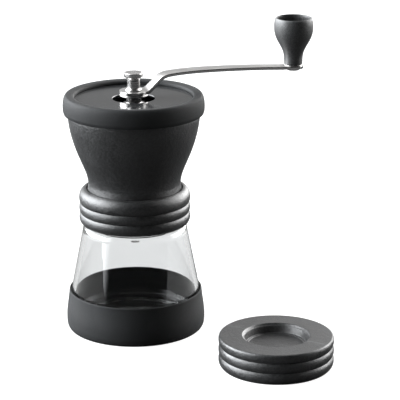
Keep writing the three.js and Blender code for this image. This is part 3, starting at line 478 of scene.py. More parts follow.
class GroupShelf:
    """Builds each shared shader group once."""

    built: ClassVar[dict[Group, bpy.types.NodeTree]] = {}

    @classmethod
    def get(cls, group: Group) -> bpy.types.NodeTree:
        """The group's tree, built on first use."""
        if group not in cls.built:
            tree = bpy.data.node_groups.new(group.value, "ShaderNodeTree")
            cls.built[group] = tree
            makers = {
                Group.GRAIN: cls.grain,
                Group.HANDLING: cls.handling,
                Group.WEAR: cls.wear,
                Group.DUST: cls.dust,
                Group.LINES: cls.lines,
            }
            makers[group](tree)
        return cls.built[group]

    @staticmethod
    def sockets(tree: bpy.types.NodeTree, inputs: dict[str, float], outputs: list[str]) -> None:
        """Gives a group its number inputs, with their defaults, and its number outputs."""
        for name, default in inputs.items():
            socket = tree.interface.new_socket(name, in_out="INPUT", socket_type="NodeSocketFloat")
            socket.default_value = default
        for name in outputs:
            tree.interface.new_socket(name, in_out="OUTPUT", socket_type="NodeSocketFloat")

    @classmethod
    def grain(cls, tree: bpy.types.NodeTree) -> None:
        """Spark-eroded grain of a mould: Size in millimetres gives a Height and a Speckle."""
        cls.sockets(tree, {"Size": 0.4}, ["Height", "Speckle"])
        graph = Graph(tree)
        given = graph.add("NodeGroupInput")
        place = graph.add("TexCoord").outputs["Object"]
        scale = graph.maths("DIVIDE", 1 / MM, given.outputs["Size"])
        fine = graph.add("TexNoise", {"Vector": place, "Scale": scale, "Detail": 3.0, "Roughness": 0.6})
        half_scale = graph.maths("MULTIPLY", scale, 0.55)
        cells = graph.add("TexVoronoi", {"Vector": place, "Scale": half_scale}, feature="SMOOTH_F1")
        height = graph.maths("ADD", fine.outputs[0], graph.maths("MULTIPLY", cells.outputs[0], 0.35))
        speckle = graph.ramp(fine.outputs[0], 0.4, 0.6)
        graph.add("NodeGroupOutput", {"Height": height, "Speckle": speckle})

    @classmethod
    def handling(cls, tree: bpy.types.NodeTree) -> None:
        """Marks of hands and cloths: Size in millimetres gives a soft Mask and thin Scuffs."""
        cls.sockets(tree, {"Size": 18.0}, ["Mask", "Scuffs"])
        graph = Graph(tree)
        given = graph.add("NodeGroupInput")
        place = graph.add("TexCoord").outputs["Object"]
        scale = graph.maths("DIVIDE", 1 / MM, given.outputs["Size"])
        clouds = graph.add("TexNoise", {"Vector": place, "Scale": scale, "Detail": 4.0, "Distortion": 0.6})
        fine_scale = graph.maths("MULTIPLY", scale, 3.0)
        streaks = graph.add("TexNoise",
                            {"Vector": place, "Scale": fine_scale, "Detail": 6.0, "Distortion": 2.5})
        thin = graph.maths("ABSOLUTE", graph.maths("SUBTRACT", streaks.outputs[0], 0.5))
        scuffs = graph.maths("SUBTRACT", 1.0, graph.ramp(thin, 0.0, 0.012))
        graph.add("NodeGroupOutput", {"Mask": graph.ramp(clouds.outputs[0], 0.35, 0.7), "Scuffs": scuffs})

    @classmethod
    def wear(cls, tree: bpy.types.NodeTree) -> None:
        """Rubbed edges: Reach, from 0 to 1, gives a Mask on convex edges, broken up by noise."""
        cls.sockets(tree, {"Reach": 0.5}, ["Mask"])
        graph = Graph(tree)
        given = graph.add("NodeGroupInput")
        convex = graph.add("NewGeometry").outputs["Pointiness"]
        start = graph.maths("SUBTRACT", 0.6, graph.maths("MULTIPLY", given.outputs["Reach"], 0.09))
        edge = graph.add("MapRange", {"Value": convex, "From Min": start, "From Max": 0.64})
        place = graph.add("TexCoord").outputs["Object"]
        noise = graph.add("TexNoise", {"Vector": place, "Scale": 0.25 / MM, "Detail": 5.0})
        broken = graph.ramp(noise.outputs[0], 0.35, 0.65)
        graph.add("NodeGroupOutput", {"Mask": graph.maths("MULTIPLY", edge.outputs[0], broken)})

    @classmethod
    def dust(cls, tree: bpy.types.NodeTree) -> None:
        """Dust on upward faces: Amount, from 0 to 1, gives a Mask."""
        cls.sockets(tree, {"Amount": 0.3}, ["Mask"])
        graph = Graph(tree)
        given = graph.add("NodeGroupInput")
        coordinates = graph.add("TexCoord")
        upward = graph.add("SeparateXYZ", {0: coordinates.outputs["Normal"]}).outputs["Z"]
        facing_up = graph.ramp(upward, 0.5, 0.95)
        noise = graph.add("TexNoise",
                          {"Vector": coordinates.outputs["Object"], "Scale": 0.9 / MM, "Detail": 8.0})
        motes = graph.ramp(noise.outputs[0], 0.45, 0.75)
        lying = graph.maths("MULTIPLY", facing_up, motes)
        graph.add("NodeGroupOutput", {"Mask": graph.maths("MULTIPLY", lying, given.outputs["Amount"])})

    @classmethod
    def lines(cls, tree: bpy.types.NodeTree) -> None:
        """Machined lines: Turned is 1 for rings round the Z axis and 0 for lines along X."""
        cls.sockets(tree, {"Turned": 0.0, "Width": 0.12}, ["Height", "Mask"])
        graph = Graph(tree)
        given = graph.add("NodeGroupInput")
        place = graph.add("TexCoord").outputs["Object"]
        parts = graph.add("SeparateXYZ", {0: place})
        square_x = graph.maths("MULTIPLY", parts.outputs[0], parts.outputs[0])
        square_y = graph.maths("MULTIPLY", parts.outputs[1], parts.outputs[1])
        radius = graph.maths("SQRT", graph.maths("ADD", square_x, square_y))
        scale = graph.maths("DIVIDE", 1 / MM, given.outputs["Width"])
        ring_place = graph.add("CombineXYZ", {0: radius, 1: parts.outputs[2]})
        stretched = graph.maths("MULTIPLY", parts.outputs[0], 0.01)
        line_place = graph.add("CombineXYZ", {0: stretched, 1: parts.outputs[1], 2: parts.outputs[2]})
        rings = graph.add("TexNoise", {"Vector": ring_place.outputs[0], "Scale": scale, "Detail": 2.0})
        lines = graph.add("TexNoise", {"Vector": line_place.outputs[0], "Scale": scale, "Detail": 3.0})
        height = graph.maths("ADD", lines.outputs[0], graph.maths(
            "MULTIPLY", given.outputs["Turned"], graph.maths("SUBTRACT", rings.outputs[0], lines.outputs[0])))
        graph.add("NodeGroupOutput", {"Height": height, "Mask": graph.ramp(height, 0.3, 0.7)})


class MaterialGraph(Graph):
    """A material's tree, with its Principled shader in place."""

    def __init__(self, name: str) -> None:
        """Makes the material."""
        self.material = bpy.data.materials.new(name)
        self.material.use_nodes = True
        super().__init__(self.material.node_tree)
        self.shader = self.add("BsdfPrincipled")
        self.add("OutputMaterial", {"Surface": self.shader.outputs[0]})

    def use(self, group: Group, values: dict[str, object] | None = None) -> bpy.types.Node:
        """Places a shared group.

        Args:
            group: which one.
            values: its inputs.

        Returns:
            The group's node.
        """
        node = self.tree.nodes.new("ShaderNodeGroup")
        node.node_tree = GroupShelf.get(group)
        for key, value in (values or {}).items():
            node.inputs[key].default_value = value
        return node

    def feed(self, socket: str, value: object) -> None:
        """Sets one of the shader's inputs to a value, or links it to a socket."""
        if isinstance(value, bpy.types.NodeSocket):
            self.tree.links.new(value, self.shader.inputs[socket])
        else:
            self.shader.inputs[socket].default_value = value

    def bump(self, height: bpy.types.NodeSocket, depth: float, strength: float = 1.0) -> None:
        """Feeds the shader's normal from a height, with the relief's depth in millimetres."""
        node = self.add("Bump", {"Height": height, "Distance": depth * MM, "Strength": strength})
        self.feed("Normal", node.outputs[0])


# ---- Finishes --------------------------------------------------------------------------------------------


def tone(value: float, warmth: float = 0.0) -> tuple[float, float, float, float]:
    """A grey with a slight warm or, if negative, cool cast."""
    return (value * (1 + warmth), value, value * (1 - warmth), 1.0)


@dataclass(frozen=True)
class Moulded:
    """Satin moulded plastic with fine grain, handling marks and rubbed edges."""

    name: str
    colour: float
    worn: float
    roughness: float
    grain: float = 0.35
    relief: float = 0.012
    warmth: float = -0.02
    dust: float = 0.25
    gloss: float = 0.85

    def build(self) -> bpy.types.Material:
        """Builds the material."""
        graph = MaterialGraph(self.name)
        grain = graph.use(Group.GRAIN, {"Size": self.grain})
        marks = graph.use(Group.HANDLING, {"Size": 22.0})
        wear = graph.use(Group.WEAR, {"Reach": 0.45})
        dust = graph.use(Group.DUST, {"Amount": self.dust})
        plain = tone(self.colour, self.warmth)
        speckled = graph.blend(grain.outputs["Speckle"], tone(self.colour * 0.2, self.warmth), plain)
        rubbed = graph.blend(wear.outputs["Mask"], speckled, tone(self.worn, self.warmth))
        graph.feed("Base Color", graph.blend(dust.outputs["Mask"], rubbed, tone(self.worn * 1.6, 0.04)))
        shine = graph.between(marks.outputs["Mask"], self.roughness - 0.05, self.roughness + 0.06)
        scuffed = graph.maths("MULTIPLY", marks.outputs["Scuffs"], 0.05)
        grained = graph.maths("ADD", shine, graph.maths("MULTIPLY", grain.outputs["Speckle"], 0.06))
        graph.feed("Roughness", graph.maths("SUBTRACT", grained, scuffed))
        graph.feed("Specular IOR Level", self.gloss)
        graph.bump(grain.outputs["Height"], self.relief)
        return graph.material


@dataclass(frozen=True)
class Rubber:
    """Soft matte rubber with a powdery bloom."""

    name: str
    colour: float
    bloom: float
    roughness: float = 0.68
    grain: float = 0.5
    relief: float = 0.03
    warmth: float = -0.04
    gloss: float = 0.28

    def build(self) -> bpy.types.Material:
        """Builds the material."""
        graph = MaterialGraph(self.name)
        grain = graph.use(Group.GRAIN, {"Size": self.grain})
        marks = graph.use(Group.HANDLING, {"Size": 30.0})
        dust = graph.use(Group.DUST, {"Amount": 0.3})
        wear = graph.use(Group.WEAR, {"Reach": 0.3})
        bloomed = graph.blend(marks.outputs["Mask"], tone(self.colour, self.warmth),
                              tone(self.bloom, self.warmth))
        dusty = graph.blend(dust.outputs["Mask"], bloomed, tone(self.bloom * 2, 0.02))
        graph.feed("Base Color", graph.blend(wear.outputs["Mask"], dusty, tone(self.bloom * 1.4)))
        low, high = self.roughness - 0.05, self.roughness + 0.07
        graph.feed("Roughness", graph.between(grain.outputs["Speckle"], low, high))
        graph.feed("Specular IOR Level", self.gloss)
        graph.bump(grain.outputs["Height"], self.relief)
        return graph.material


@dataclass(frozen=True)
class ClearGlass:
    """Clear pressed glass with the slight waviness of a moulded jar and faint wiping marks."""

    name: str

    def build(self) -> bpy.types.Material:
        """Builds the material."""
        graph = MaterialGraph(self.name)
        marks = graph.use(Group.HANDLING, {"Size": 26.0})
        place = graph.add("TexCoord").outputs["Object"]
        waves = graph.add("TexNoise", {"Vector": place, "Scale": 0.045 / MM, "Detail": 1.0})
        tint = graph.blend(marks.outputs["Mask"], (0.96, 0.968, 0.97, 1.0), (0.945, 0.955, 0.957, 1.0))
        graph.feed("Base Color", tint)
        graph.feed("Roughness", graph.between(marks.outputs["Mask"], 0.0, 0.025))
        graph.feed("Transmission Weight", 1.0)
        graph.feed("IOR", 1.5)
        graph.bump(waves.outputs[0], 0.12, 0.35)
        return graph.material


@dataclass(frozen=True)
class SmokedWindow:
    """Glossy smoked plastic with wiping marks and settled dust."""

    name: str
    colour: float

    def build(self) -> bpy.types.Material:
        """Builds the material."""
        graph = MaterialGraph(self.name)
        marks = graph.use(Group.HANDLING, {"Size": 16.0})
        dust = graph.use(Group.DUST, {"Amount": 0.12})
        grain = graph.use(Group.GRAIN, {"Size": 3.0})
        smoked = graph.blend(marks.outputs["Mask"], tone(self.colour, -0.05), tone(self.colour * 1.3, -0.05))
        graph.feed("Base Color", graph.blend(dust.outputs["Mask"], smoked, tone(0.2)))
        shine = graph.between(marks.outputs["Mask"], 0.13, 0.2)
        scuffed = graph.maths("MULTIPLY", marks.outputs["Scuffs"], 0.06)
        graph.feed("Roughness", graph.maths("ADD", shine, scuffed))
        graph.feed("IOR", 1.55)
        graph.bump(grain.outputs["Height"], 0.004, 0.4)
        return graph.material


class Lines(Enum):
    """How a metal's machining lines run."""

    ALONG = 0.0
    TURNED = 1.0


@dataclass(frozen=True)
class Metal:
    """Plated or bright steel with machining lines and light tarnish."""

    name: str
    colour: float
    roughness: float
    lines: Lines
    relief: float
    spread: float = 0.1
    warmth: float = 0.02
    line_width: float = 0.12

    def build(self) -> bpy.types.Material:
        """Builds the material."""
        graph = MaterialGraph(self.name)
        machined = graph.use(Group.LINES, {"Turned": self.lines.value, "Width": self.line_width})
        marks = graph.use(Group.HANDLING, {"Size": 9.0})
        wear = graph.use(Group.WEAR, {"Reach": 0.4})
        lined = graph.blend(machined.outputs["Mask"], tone(self.colour * 0.86, self.warmth),
                            tone(self.colour, self.warmth))
        graph.feed("Base Color", graph.blend(wear.outputs["Mask"], lined, tone(min(1.0, self.colour * 1.15))))
        graph.feed("Metallic", 1.0)
        streaked = graph.between(machined.outputs["Mask"], self.roughness, self.roughness + self.spread)
        smeared = graph.maths("MULTIPLY", marks.outputs["Mask"], 0.05)
        graph.feed("Roughness", graph.maths("ADD", streaked, smeared))
        graph.bump(machined.outputs["Height"], self.relief)
        return graph.material


@dataclass(frozen=True)
class Ceramic:
    """Unglazed burr ceramic, a little stained with coffee oil."""

    name: str

    def build(self) -> bpy.types.Material:
        """Builds the material."""
        graph = MaterialGraph(self.name)
        grain = graph.use(Group.GRAIN, {"Size": 0.25})
        marks = graph.use(Group.HANDLING, {"Size": 7.0})
        clean, stained = (0.78, 0.75, 0.69, 1.0), (0.55, 0.45, 0.33, 1.0)
        stain = graph.maths("MULTIPLY", marks.outputs["Mask"], 0.35)
        graph.feed("Base Color", graph.blend(stain, clean, stained))
        graph.feed("Roughness", graph.between(grain.outputs["Speckle"], 0.5, 0.68))
        graph.bump(grain.outputs["Height"], 0.01)
        return graph.material


class Finish(Enum):
    """The grinder's finishes, each with its slot in the record."""

    BODY = ("satin_plastic", Moulded("body plastic", 0.018, 0.05, 0.42, grain=1.2, relief=0.2))
    KNOB = ("knob_plastic", Moulded("knob plastic", 0.045, 0.09, 0.5, grain=0.7, relief=0.06))
    BUSH = ("bush_plastic", Moulded("bearing plastic", 0.6, 0.7, 0.4, relief=0.004, warmth=0.06))
    RUBBER = ("soft_rubber", Rubber("soft rubber", 0.014, 0.019))
    SEAL = ("seal_rubber", Rubber("seal rubber", 0.22, 0.3, warmth=0.02))
    GLASS = ("clear_glass", ClearGlass("jar glass"))
    WINDOW = ("smoked_plastic", SmokedWindow("smoked window", 0.012))
    CHROME = ("chrome", Metal("turned chrome", 0.68, 0.2, Lines.TURNED, 0.006, spread=0.1))
    STRIP_FACE = ("brushed_chrome", Metal("brushed strip", 0.46, 0.3, Lines.ALONG, 0.008, spread=0.16))
    # The crank's edges share the strip's brushed chrome but are given a much brighter colour, a painted highlight
    # along the edge, and a lower roughness.
    STRIP_EDGE = ("brushed_chrome", Metal("polished edge with painted highlight", 0.76, 0.1, Lines.ALONG, 0.002, spread=0.06))
    STEEL = ("steel", Metal("bright steel", 0.55, 0.22, Lines.TURNED, 0.004, spread=0.1))
    CERAMIC = ("ceramic", Ceramic("burr ceramic"))

    @property
    def slot(self) -> str:
        """The record's material slot."""
        return self.value[0]

    def material(self) -> bpy.types.Material:
        """The finish's material, built on first use."""
        recipe = self.value[1]
        return bpy.data.materials.get(recipe.name) or recipe.build()


def dress(piece: bpy.types.Object, *finishes: Finish) -> bpy.types.Object:
    """Gives a piece its material slots.

    Args:
        piece: the piece.
        finishes: its finishes, the main one first.

    Returns:
        The piece.
    """
    piece.data.materials.clear()
    for finish in finishes:
        piece.data.materials.append(finish.material())
    return piece


def install(piece: bpy.types.Object, body: str, node: str) -> None:
    """Puts a finished piece on its body in place of its CAD node.

    Args:
        piece: the finished piece.
        body: the CAD body that it moves with.
        node: the CAD node that it stands for.
    """
    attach(piece, body)
    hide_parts(node)
    low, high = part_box(node)
    tall = (high.z - low.z) / MM
    log.info("%s: %d faces for %s, %.1f mm tall", piece.name, len(piece.data.polygons), node, tall)


# ---- Shared features -------------------------------------------------------------------------------------


@dataclass(frozen=True)
class JarThread:
    """The coarse right-hand thread of the jar, the collar and the storage lid."""

    pitch: float = 5.0
    turns: float = 1.3
    neck: float = 31.6
    bore: float = 33.4
    depth: float = 1.05
    root: float = 1.9
    crest: float = 0.9
    steps: int = 72

    def ridge(self, name: str, wall: float, outward: bool, start: float) -> bpy.types.Object:
        """One wound ridge, rooted a little inside a wall.

        Args:
            name: name of the new object.
            wall: radius of the wall that it stands on.
            outward: whether it stands out from the wall, or in from it.
            start: height of its lower end.

        Returns:
            The ridge.
        """
        side = 1 if outward else -1
        inside, tip = wall - side * 0.4, wall + side * self.depth
        section = [(inside, start - self.root / 2), (tip, start - self.crest / 2, 0.3),
                   (tip, start + self.crest / 2, 0.3), (inside, start + self.root / 2)]
        return wound(name, section, self.turns, self.pitch, self.steps)


@dataclass(frozen=True)
class RibbedSkirt:
    """The wall of three rounded ribs that the collar and the storage lid share."""

    radius: float = 37.05
    ribs: int = 3
    pitch: float = 6.55
    groove: float = 0.95
    foot: float = 1.0
    fineness: int = 14

    def wall(self, bottom: float) -> Outline:
        """Outline from the lower edge up to the middle of the top rib."""
        points: Outline = [(self.radius - self.groove - 0.9, bottom, 0.3)]
        for step in range(int((self.ribs - 0.5) * self.fineness) + 1):
            along = step / self.fineness
            off_middle = abs(2 * (along % 1) - 1)
            radius = self.radius - self.groove * off_middle ** 2.4
            points.append((radius, bottom + self.foot + along * self.pitch))
        return points

    def top_rib(self, bottom: float) -> float:
        """Height of the middle of the top rib."""
        return bottom + self.foot + (self.ribs - 0.5) * self.pitch


# ---- Base and jar ----------------------------------------------------------------------------------------


@dataclass
class BaseAndJar:
    """The soft cup base with the glass jar and the seal on its rim."""

    wall: float = 2.2
    rim_wall: float = 1.3
    rim_radius: float = 44.7
    foot_inset: float = 2.7
    glass: float = 3.0
    floor: float = 5.0
    fit: float = 0.25
    shoulder_radius: float = 35.1
    shoulder_round: float = 3.6
    neck_height: float = 13.4
    heel: float = 6.0
    cup: NodeBox = field(default_factory=lambda: NodeBox("rubber_base"))
    jar: NodeBox = field(default_factory=lambda: NodeBox("glass_jar"))
    seal: NodeBox = field(default_factory=lambda: NodeBox("jar_seal"))
    thread: JarThread = field(default_factory=JarThread)

    def make_base(self) -> None:
        """The cup: rounded foot, upright lower wall, thin rim and a recess underneath."""
        widest, top = self.cup.radius, self.cup.top
        foot = widest - self.foot_inset
        inner = widest - self.wall
        outline = [
            (0.0, 0.5),
            (36.0, 0.5, 0.3),
            (36.5, 0.0, 0.3),
            *curve((foot, 0.0), (foot + 1.7, 0.0), (widest, 2.0), (widest, 6.2)),
            *curve((widest, 9.0), (widest, 14.0), (self.rim_radius + 0.25, top - 6),
                   (self.rim_radius, top - 0.8), 10),
            (self.rim_radius - 0.1, top, 0.45),
            (self.rim_radius - self.rim_wall, top, 0.3),
            (inner, self.jar.bottom + self.heel, 2.0),
            (inner - 1.9, self.jar.bottom + 1.6, 1.5),
            (inner - self.heel * 0.8, self.jar.bottom - SEAT, 1.0),
            (0.0, self.jar.bottom - SEAT),
        ]
        install(dress(turned("cup_base", outline), Finish.RUBBER), "jar", "rubber_base")

    def make_jar(self) -> None:
        """The jar: conical wall, heavy floor with a raised ring, rounded shoulder and threaded neck."""
        bottom, rim = self.jar.bottom, self.jar.top
        heel = self.cup.radius - self.wall - self.fit
        at_rim = self.rim_radius - self.rim_wall - self.fit
        neck, bore = self.thread.neck, self.thread.neck - self.glass
        foot = rim - self.neck_height
        shoulder = foot - self.shoulder_round
        floor = bottom + self.floor
        outline = [
            (0.0, bottom + 1.4),
            (heel - 14, bottom + 1.2, 3.0),
            (heel - 9, bottom, 1.0),
            (heel - 5.0, bottom, 3.0),
            (heel - 0.4, bottom + 4.4, 3.6),
            (heel, bottom + 12, 5.0),
            (at_rim, self.cup.top, 3.0),
            (self.shoulder_radius + 0.1, shoulder - 1),
            *curve((self.shoulder_radius, shoulder), (self.shoulder_radius - 0.6, shoulder + 2.6),
                   (neck + 2.2, foot), (neck, foot), 12),
            (neck, rim, 0.7),
            (bore, rim, 0.7),
            *curve((bore, foot - 1), (bore, shoulder + 1.6),
                   (self.shoulder_radius - self.glass - 0.8, shoulder + 1),
                   (self.shoulder_radius - self.glass + 0.2, shoulder - 2), 12),
            (at_rim - self.glass, self.cup.top, 3.0),
            (heel - self.glass - 0.7, floor + 7, 5.0),
            *curve((heel - self.glass - 1.2, floor + 4.6), (heel - self.glass - 1.8, floor + 1.2),
                   (heel - 9.5, floor), (heel - 12, floor), 12),
            (heel - 13.6, floor + 0.1, 0.5),
            (heel - 14.6, floor - 0.9, 0.5),
            (0.0, floor - 0.7),
        ]
        jar = turned("jar_glass", outline, steps=128)
        ridge = self.thread.ridge("jar thread", neck, True, foot + 4)
        smooth(combine(jar, ridge, Join.ADD))
        install(dress(jar, Finish.GLASS), "jar", "glass_jar")

    def make_seal(self) -> None:
        """The seal ring, with a bead round its middle."""
        low, high = self.seal.bottom, self.seal.top
        outer, inner = self.seal.radius, self.thread.neck - self.glass + 0.4
        middle = (low + high) / 2
        outline = [(inner, low, 0.4), (outer - 0.3, low, 0.4), (outer, middle, 0.3), (outer - 0.3, high, 0.4),
                   (inner, high, 0.4)]
        install(dress(turned("jar_seal_ring", outline), Finish.SEAL), "seal", "jar_seal")

    def build(self) -> None:
        """Builds all its pieces."""
        self.make_base()
        self.make_jar()
        self.make_seal()


# ---- Mill head -------------------------------------------------------------------------------------------


@dataclass
class MillHead:
    """The ribbed collar, the hopper with its bearing post, the bushes and the burr carrier."""

    fit: float = 0.35
    collar_top_radius: float = 32.3
    collar_web: float = 3.6
    collar_groove: float = 1.8
    waist_rise: float = 5.2
    waist_radius: float = 30.8
    flare: float = 45.6
    wall: float = 2.3
    throat: float = 18.6
    skirt_radius: float = 29.5
    foot_radius: float = 31.2
    post_radius: float = 8.0
    post_bore: float = 6.0
    post_foot: float = 11.6
    post_drop: float = 3.6
    legs: int = 3
    leg_thickness: float = 3.0
    leg_height: float = 13.0
    shaft_bore: float = 3.6
    screw_circle: float = 25.6
    screws: int = 3
    collar: NodeBox = field(default_factory=lambda: NodeBox("screw_collar"))
    hopper: NodeBox = field(default_factory=lambda: NodeBox("hopper"))
    carrier: NodeBox = field(default_factory=lambda: NodeBox("burr_carrier"))
    burr: NodeBox = field(default_factory=lambda: NodeBox("outer_burr"))
    screw: NodeBox = field(default_factory=lambda: NodeBox("carrier_screw_1"))
    thread: JarThread = field(default_factory=JarThread)
    skirt: RibbedSkirt = field(default_factory=RibbedSkirt)

    @property
    def waist(self) -> float:
        """Height of the hopper's waist."""
        return self.foot + self.waist_rise

    @property
    def foot(self) -> float:
        """Height of the hopper's foot, which rests on the collar's web."""
        return self.collar.top - self.collar_groove + SEAT

    def make_collar(self) -> None:
        """The collar: ribs, rounded shoulder, a groove round the hopper's foot and an inner thread."""
        bottom, top, bore = self.collar.bottom, self.collar.top, self.thread.bore
        rib = self.skirt.top_rib(bottom)
        web = top - self.collar_groove
        hole = self.skirt_radius + self.fit
        outline = [
            *self.skirt.wall(bottom),
            *curve((self.skirt.radius, rib + 0.3), (self.skirt.radius, rib + 4),
                   (self.collar_top_radius + 2.6, top),
                   (self.collar_top_radius, top), 14),
            (self.collar_top_radius - 0.5, web, 0.3),
            (hole, web, 0.2),
            (hole, web - self.collar_web, 0.2),
            (bore, web - self.collar_web, 0.5),
            (bore, bottom + 0.9, 0.2),
            (bore + 0.7, bottom, 0.2),
        ]
        collar = turned("ribbed_collar", outline, steps=128)
        ridge = self.thread.ridge("collar thread", bore, False, bottom + 5)
        smooth(combine(collar, ridge, Join.ADD))
        install(dress(collar, Finish.BODY), "head", "screw_collar")

    def wall_curve(self, inset: float, count: int) -> Outline:
        """The hopper's flared wall from its waist up, moved inwards by an inset."""
        waist, top = self.waist_radius - inset, self.hopper.radius - inset
        spread = top - waist
        return curve((waist, self.waist), (waist, self.waist + self.flare * 0.23),
                     (top - spread * 0.18, self.waist + self.flare * 0.474), (top, self.waist + self.flare),
                     count)

    def wall_middle(self, height: float) -> float:
        """Radius of the middle of the hopper's wall at a height."""
        points = self.wall_curve(self.wall / 2, 60)
        return min(points, key=lambda point: abs(point[1] - height))[0]

    def make_leg(self) -> bpy.types.Object:
        """One leg of the post: a block whose outer end is drawn out to follow the wall."""
        low = self.waist + self.post_foot
        high = low + self.leg_height
        half = self.leg_thickness / 2
        start = (self.post_radius + self.post_bore) / 2
        reach = self.wall_middle(low)
        leg = block("post leg", (start, -half, low), (reach, half, high))
        pick(leg, lambda place: place.x > start + 1 and place.z > high - 0.1)
        bpy.ops.transform.translate(value=((self.wall_middle(high) - reach) * MM, 0, 0))
        pick(leg, lambda place: place.x < start + 1 and place.z > high - 0.1)
        bpy.ops.transform.translate(value=(0, 0, 3 * MM))
        bpy.ops.object.mode_set(mode="OBJECT")
        activate(leg)
        leg.rotation_euler.z = math.pi / self.legs
        bpy.ops.object.transform_apply(location=False, rotation=True, scale=False)
        return leg

    def make_hopper(self) -> None:
        """The hopper: flared wall, beaded mouth, funnel floor, foot, and the post on its legs."""
        bottom, mouth = self.hopper.bottom, self.hopper.top
        outer = self.hopper.radius
        outline = [
            (self.throat, bottom, 0.3),
            (self.skirt_radius, bottom, 0.4),
            (self.skirt_radius, self.foot, 0.2),
            (self.foot_radius, self.foot, 0.3),
            (self.foot_radius, self.foot + 1.4, 0.6),
            *self.wall_curve(0.0, 28),
            (outer, mouth, 0.8),
            (outer - self.wall, mouth, 0.8),
            *reversed(self.wall_curve(self.wall, 24)[1:]),
            (self.waist_radius - self.wall, self.waist + 0.6, 2.0),
            (self.throat, bottom + 3, 1.0),
        ]
        hopper = turned("hopper_body", outline, steps=128)
        low, high = self.waist + self.post_foot, mouth - self.post_drop
        post = turned("post", square_ring(self.post_bore, self.post_radius, low, high, 0.5))
        hopper = combine(hopper, post, Join.ADD)
        for leg in turned_copies(self.make_leg(), self.legs):
            combine(hopper, leg, Join.ADD)
        install(dress(smooth(hopper), Finish.BODY), "head", "hopper")

    def make_bushes(self) -> None:
        """The flanged bushes at both ends of the post."""
        for node, upward in (("upper_bush", True), ("lower_bush", False)):
            box = NodeBox(node)
            tube = self.post_bore - SEAT
            outline = [(self.shaft_bore, box.bottom, 0.3), (box.radius, box.bottom, 0.3),
                       (box.radius, box.bottom + 1.1, 0.3), (tube, box.bottom + 1.1, 0.1),
                       (tube, box.top, 0.4), (self.shaft_bore, box.top, 0.3)]
            if upward:
                middle = (box.bottom + box.top) / 2
                outline = [(point[0], 2 * middle - point[1], *point[2:]) for point in reversed(outline)]
            install(dress(turned(f"{node}_sleeve", outline, steps=64), Finish.BUSH), "head", node)

    def make_carrier(self) -> None:
        """The carrier: flange, webbed skirt round the outer burr, and holes for its screws."""
        bottom, top = self.carrier.bottom, self.carrier.top
        flange = self.screw.bottom + 1.8
        bore = self.burr.radius + SEAT
        outer = bore + 3.2
        outline = [
            (bore, bottom, 0.4),
            (outer, bottom, 1.2),
            (outer + 0.6, flange - 2.2, 1.5),
            (self.thread.neck - 3.8, flange, 0.3),
            (self.carrier.radius, flange, 0.5),
            (self.carrier.radius, top, 0.5),
            (16.6, top, 0.4),
            (16.6, self.burr.top + SEAT, 0.4),
            (bore, self.burr.top + SEAT, 0.2),
        ]
        carrier = turned("carrier_moulding", outline, steps=128)
        centre = (self.screw_circle, 0.0)
        way = [(0.0, bottom + 2), (2.6, bottom + 2), (2.6, flange + SEAT), (1.5, flange + SEAT),
               (1.5, top + 1),
               (0.0, top + 1)]
        for cutter in turned_copies(turned("screw way", way, centre, steps=32), self.screws):
            combine(carrier, cutter, Join.CUT)
        install(dress(smooth(carrier), Finish.BODY), "head", "burr_carrier")

    def make_screws(self) -> None:
        """The carrier's pan-head screws, with a cross recess."""
        low, top = self.screw.bottom, self.screw.top
        head = low + 1.8
        x = self.screw_circle
        outline = [(0.0, low), (2.5, low, 1.0), (2.5, head, 0.2), (1.4, head, 0.1), (1.4, top - 1, 0.3),
                   (0.0, top)]
        screw = turned("carrier_screw", outline, (x, 0.0), steps=32)
        long_slot = block("slot", (x - 1.5, -0.35, low - 0.5), (x + 1.5, 0.35, low + 0.9))
        cross_slot = block("slot", (x - 0.35, -1.5, low - 0.5), (x + 0.35, 1.5, low + 0.9))
        for slot in (long_slot, cross_slot):
            combine(screw, slot, Join.CUT)
        for index, copy in enumerate(turned_copies(smooth(screw), self.screws)):
            copy.name = f"carrier_screw_body_{index + 1}"
            install(dress(copy, Finish.STEEL), "head", f"carrier_screw_{index + 1}")

    def build(self) -> None:
        """Builds all its pieces."""
        self.make_collar()
        self.make_hopper()
        self.make_bushes()
        self.make_carrier()
        self.make_screws()


# ---- Burrs -----------------------------------------------------------------------------------------------


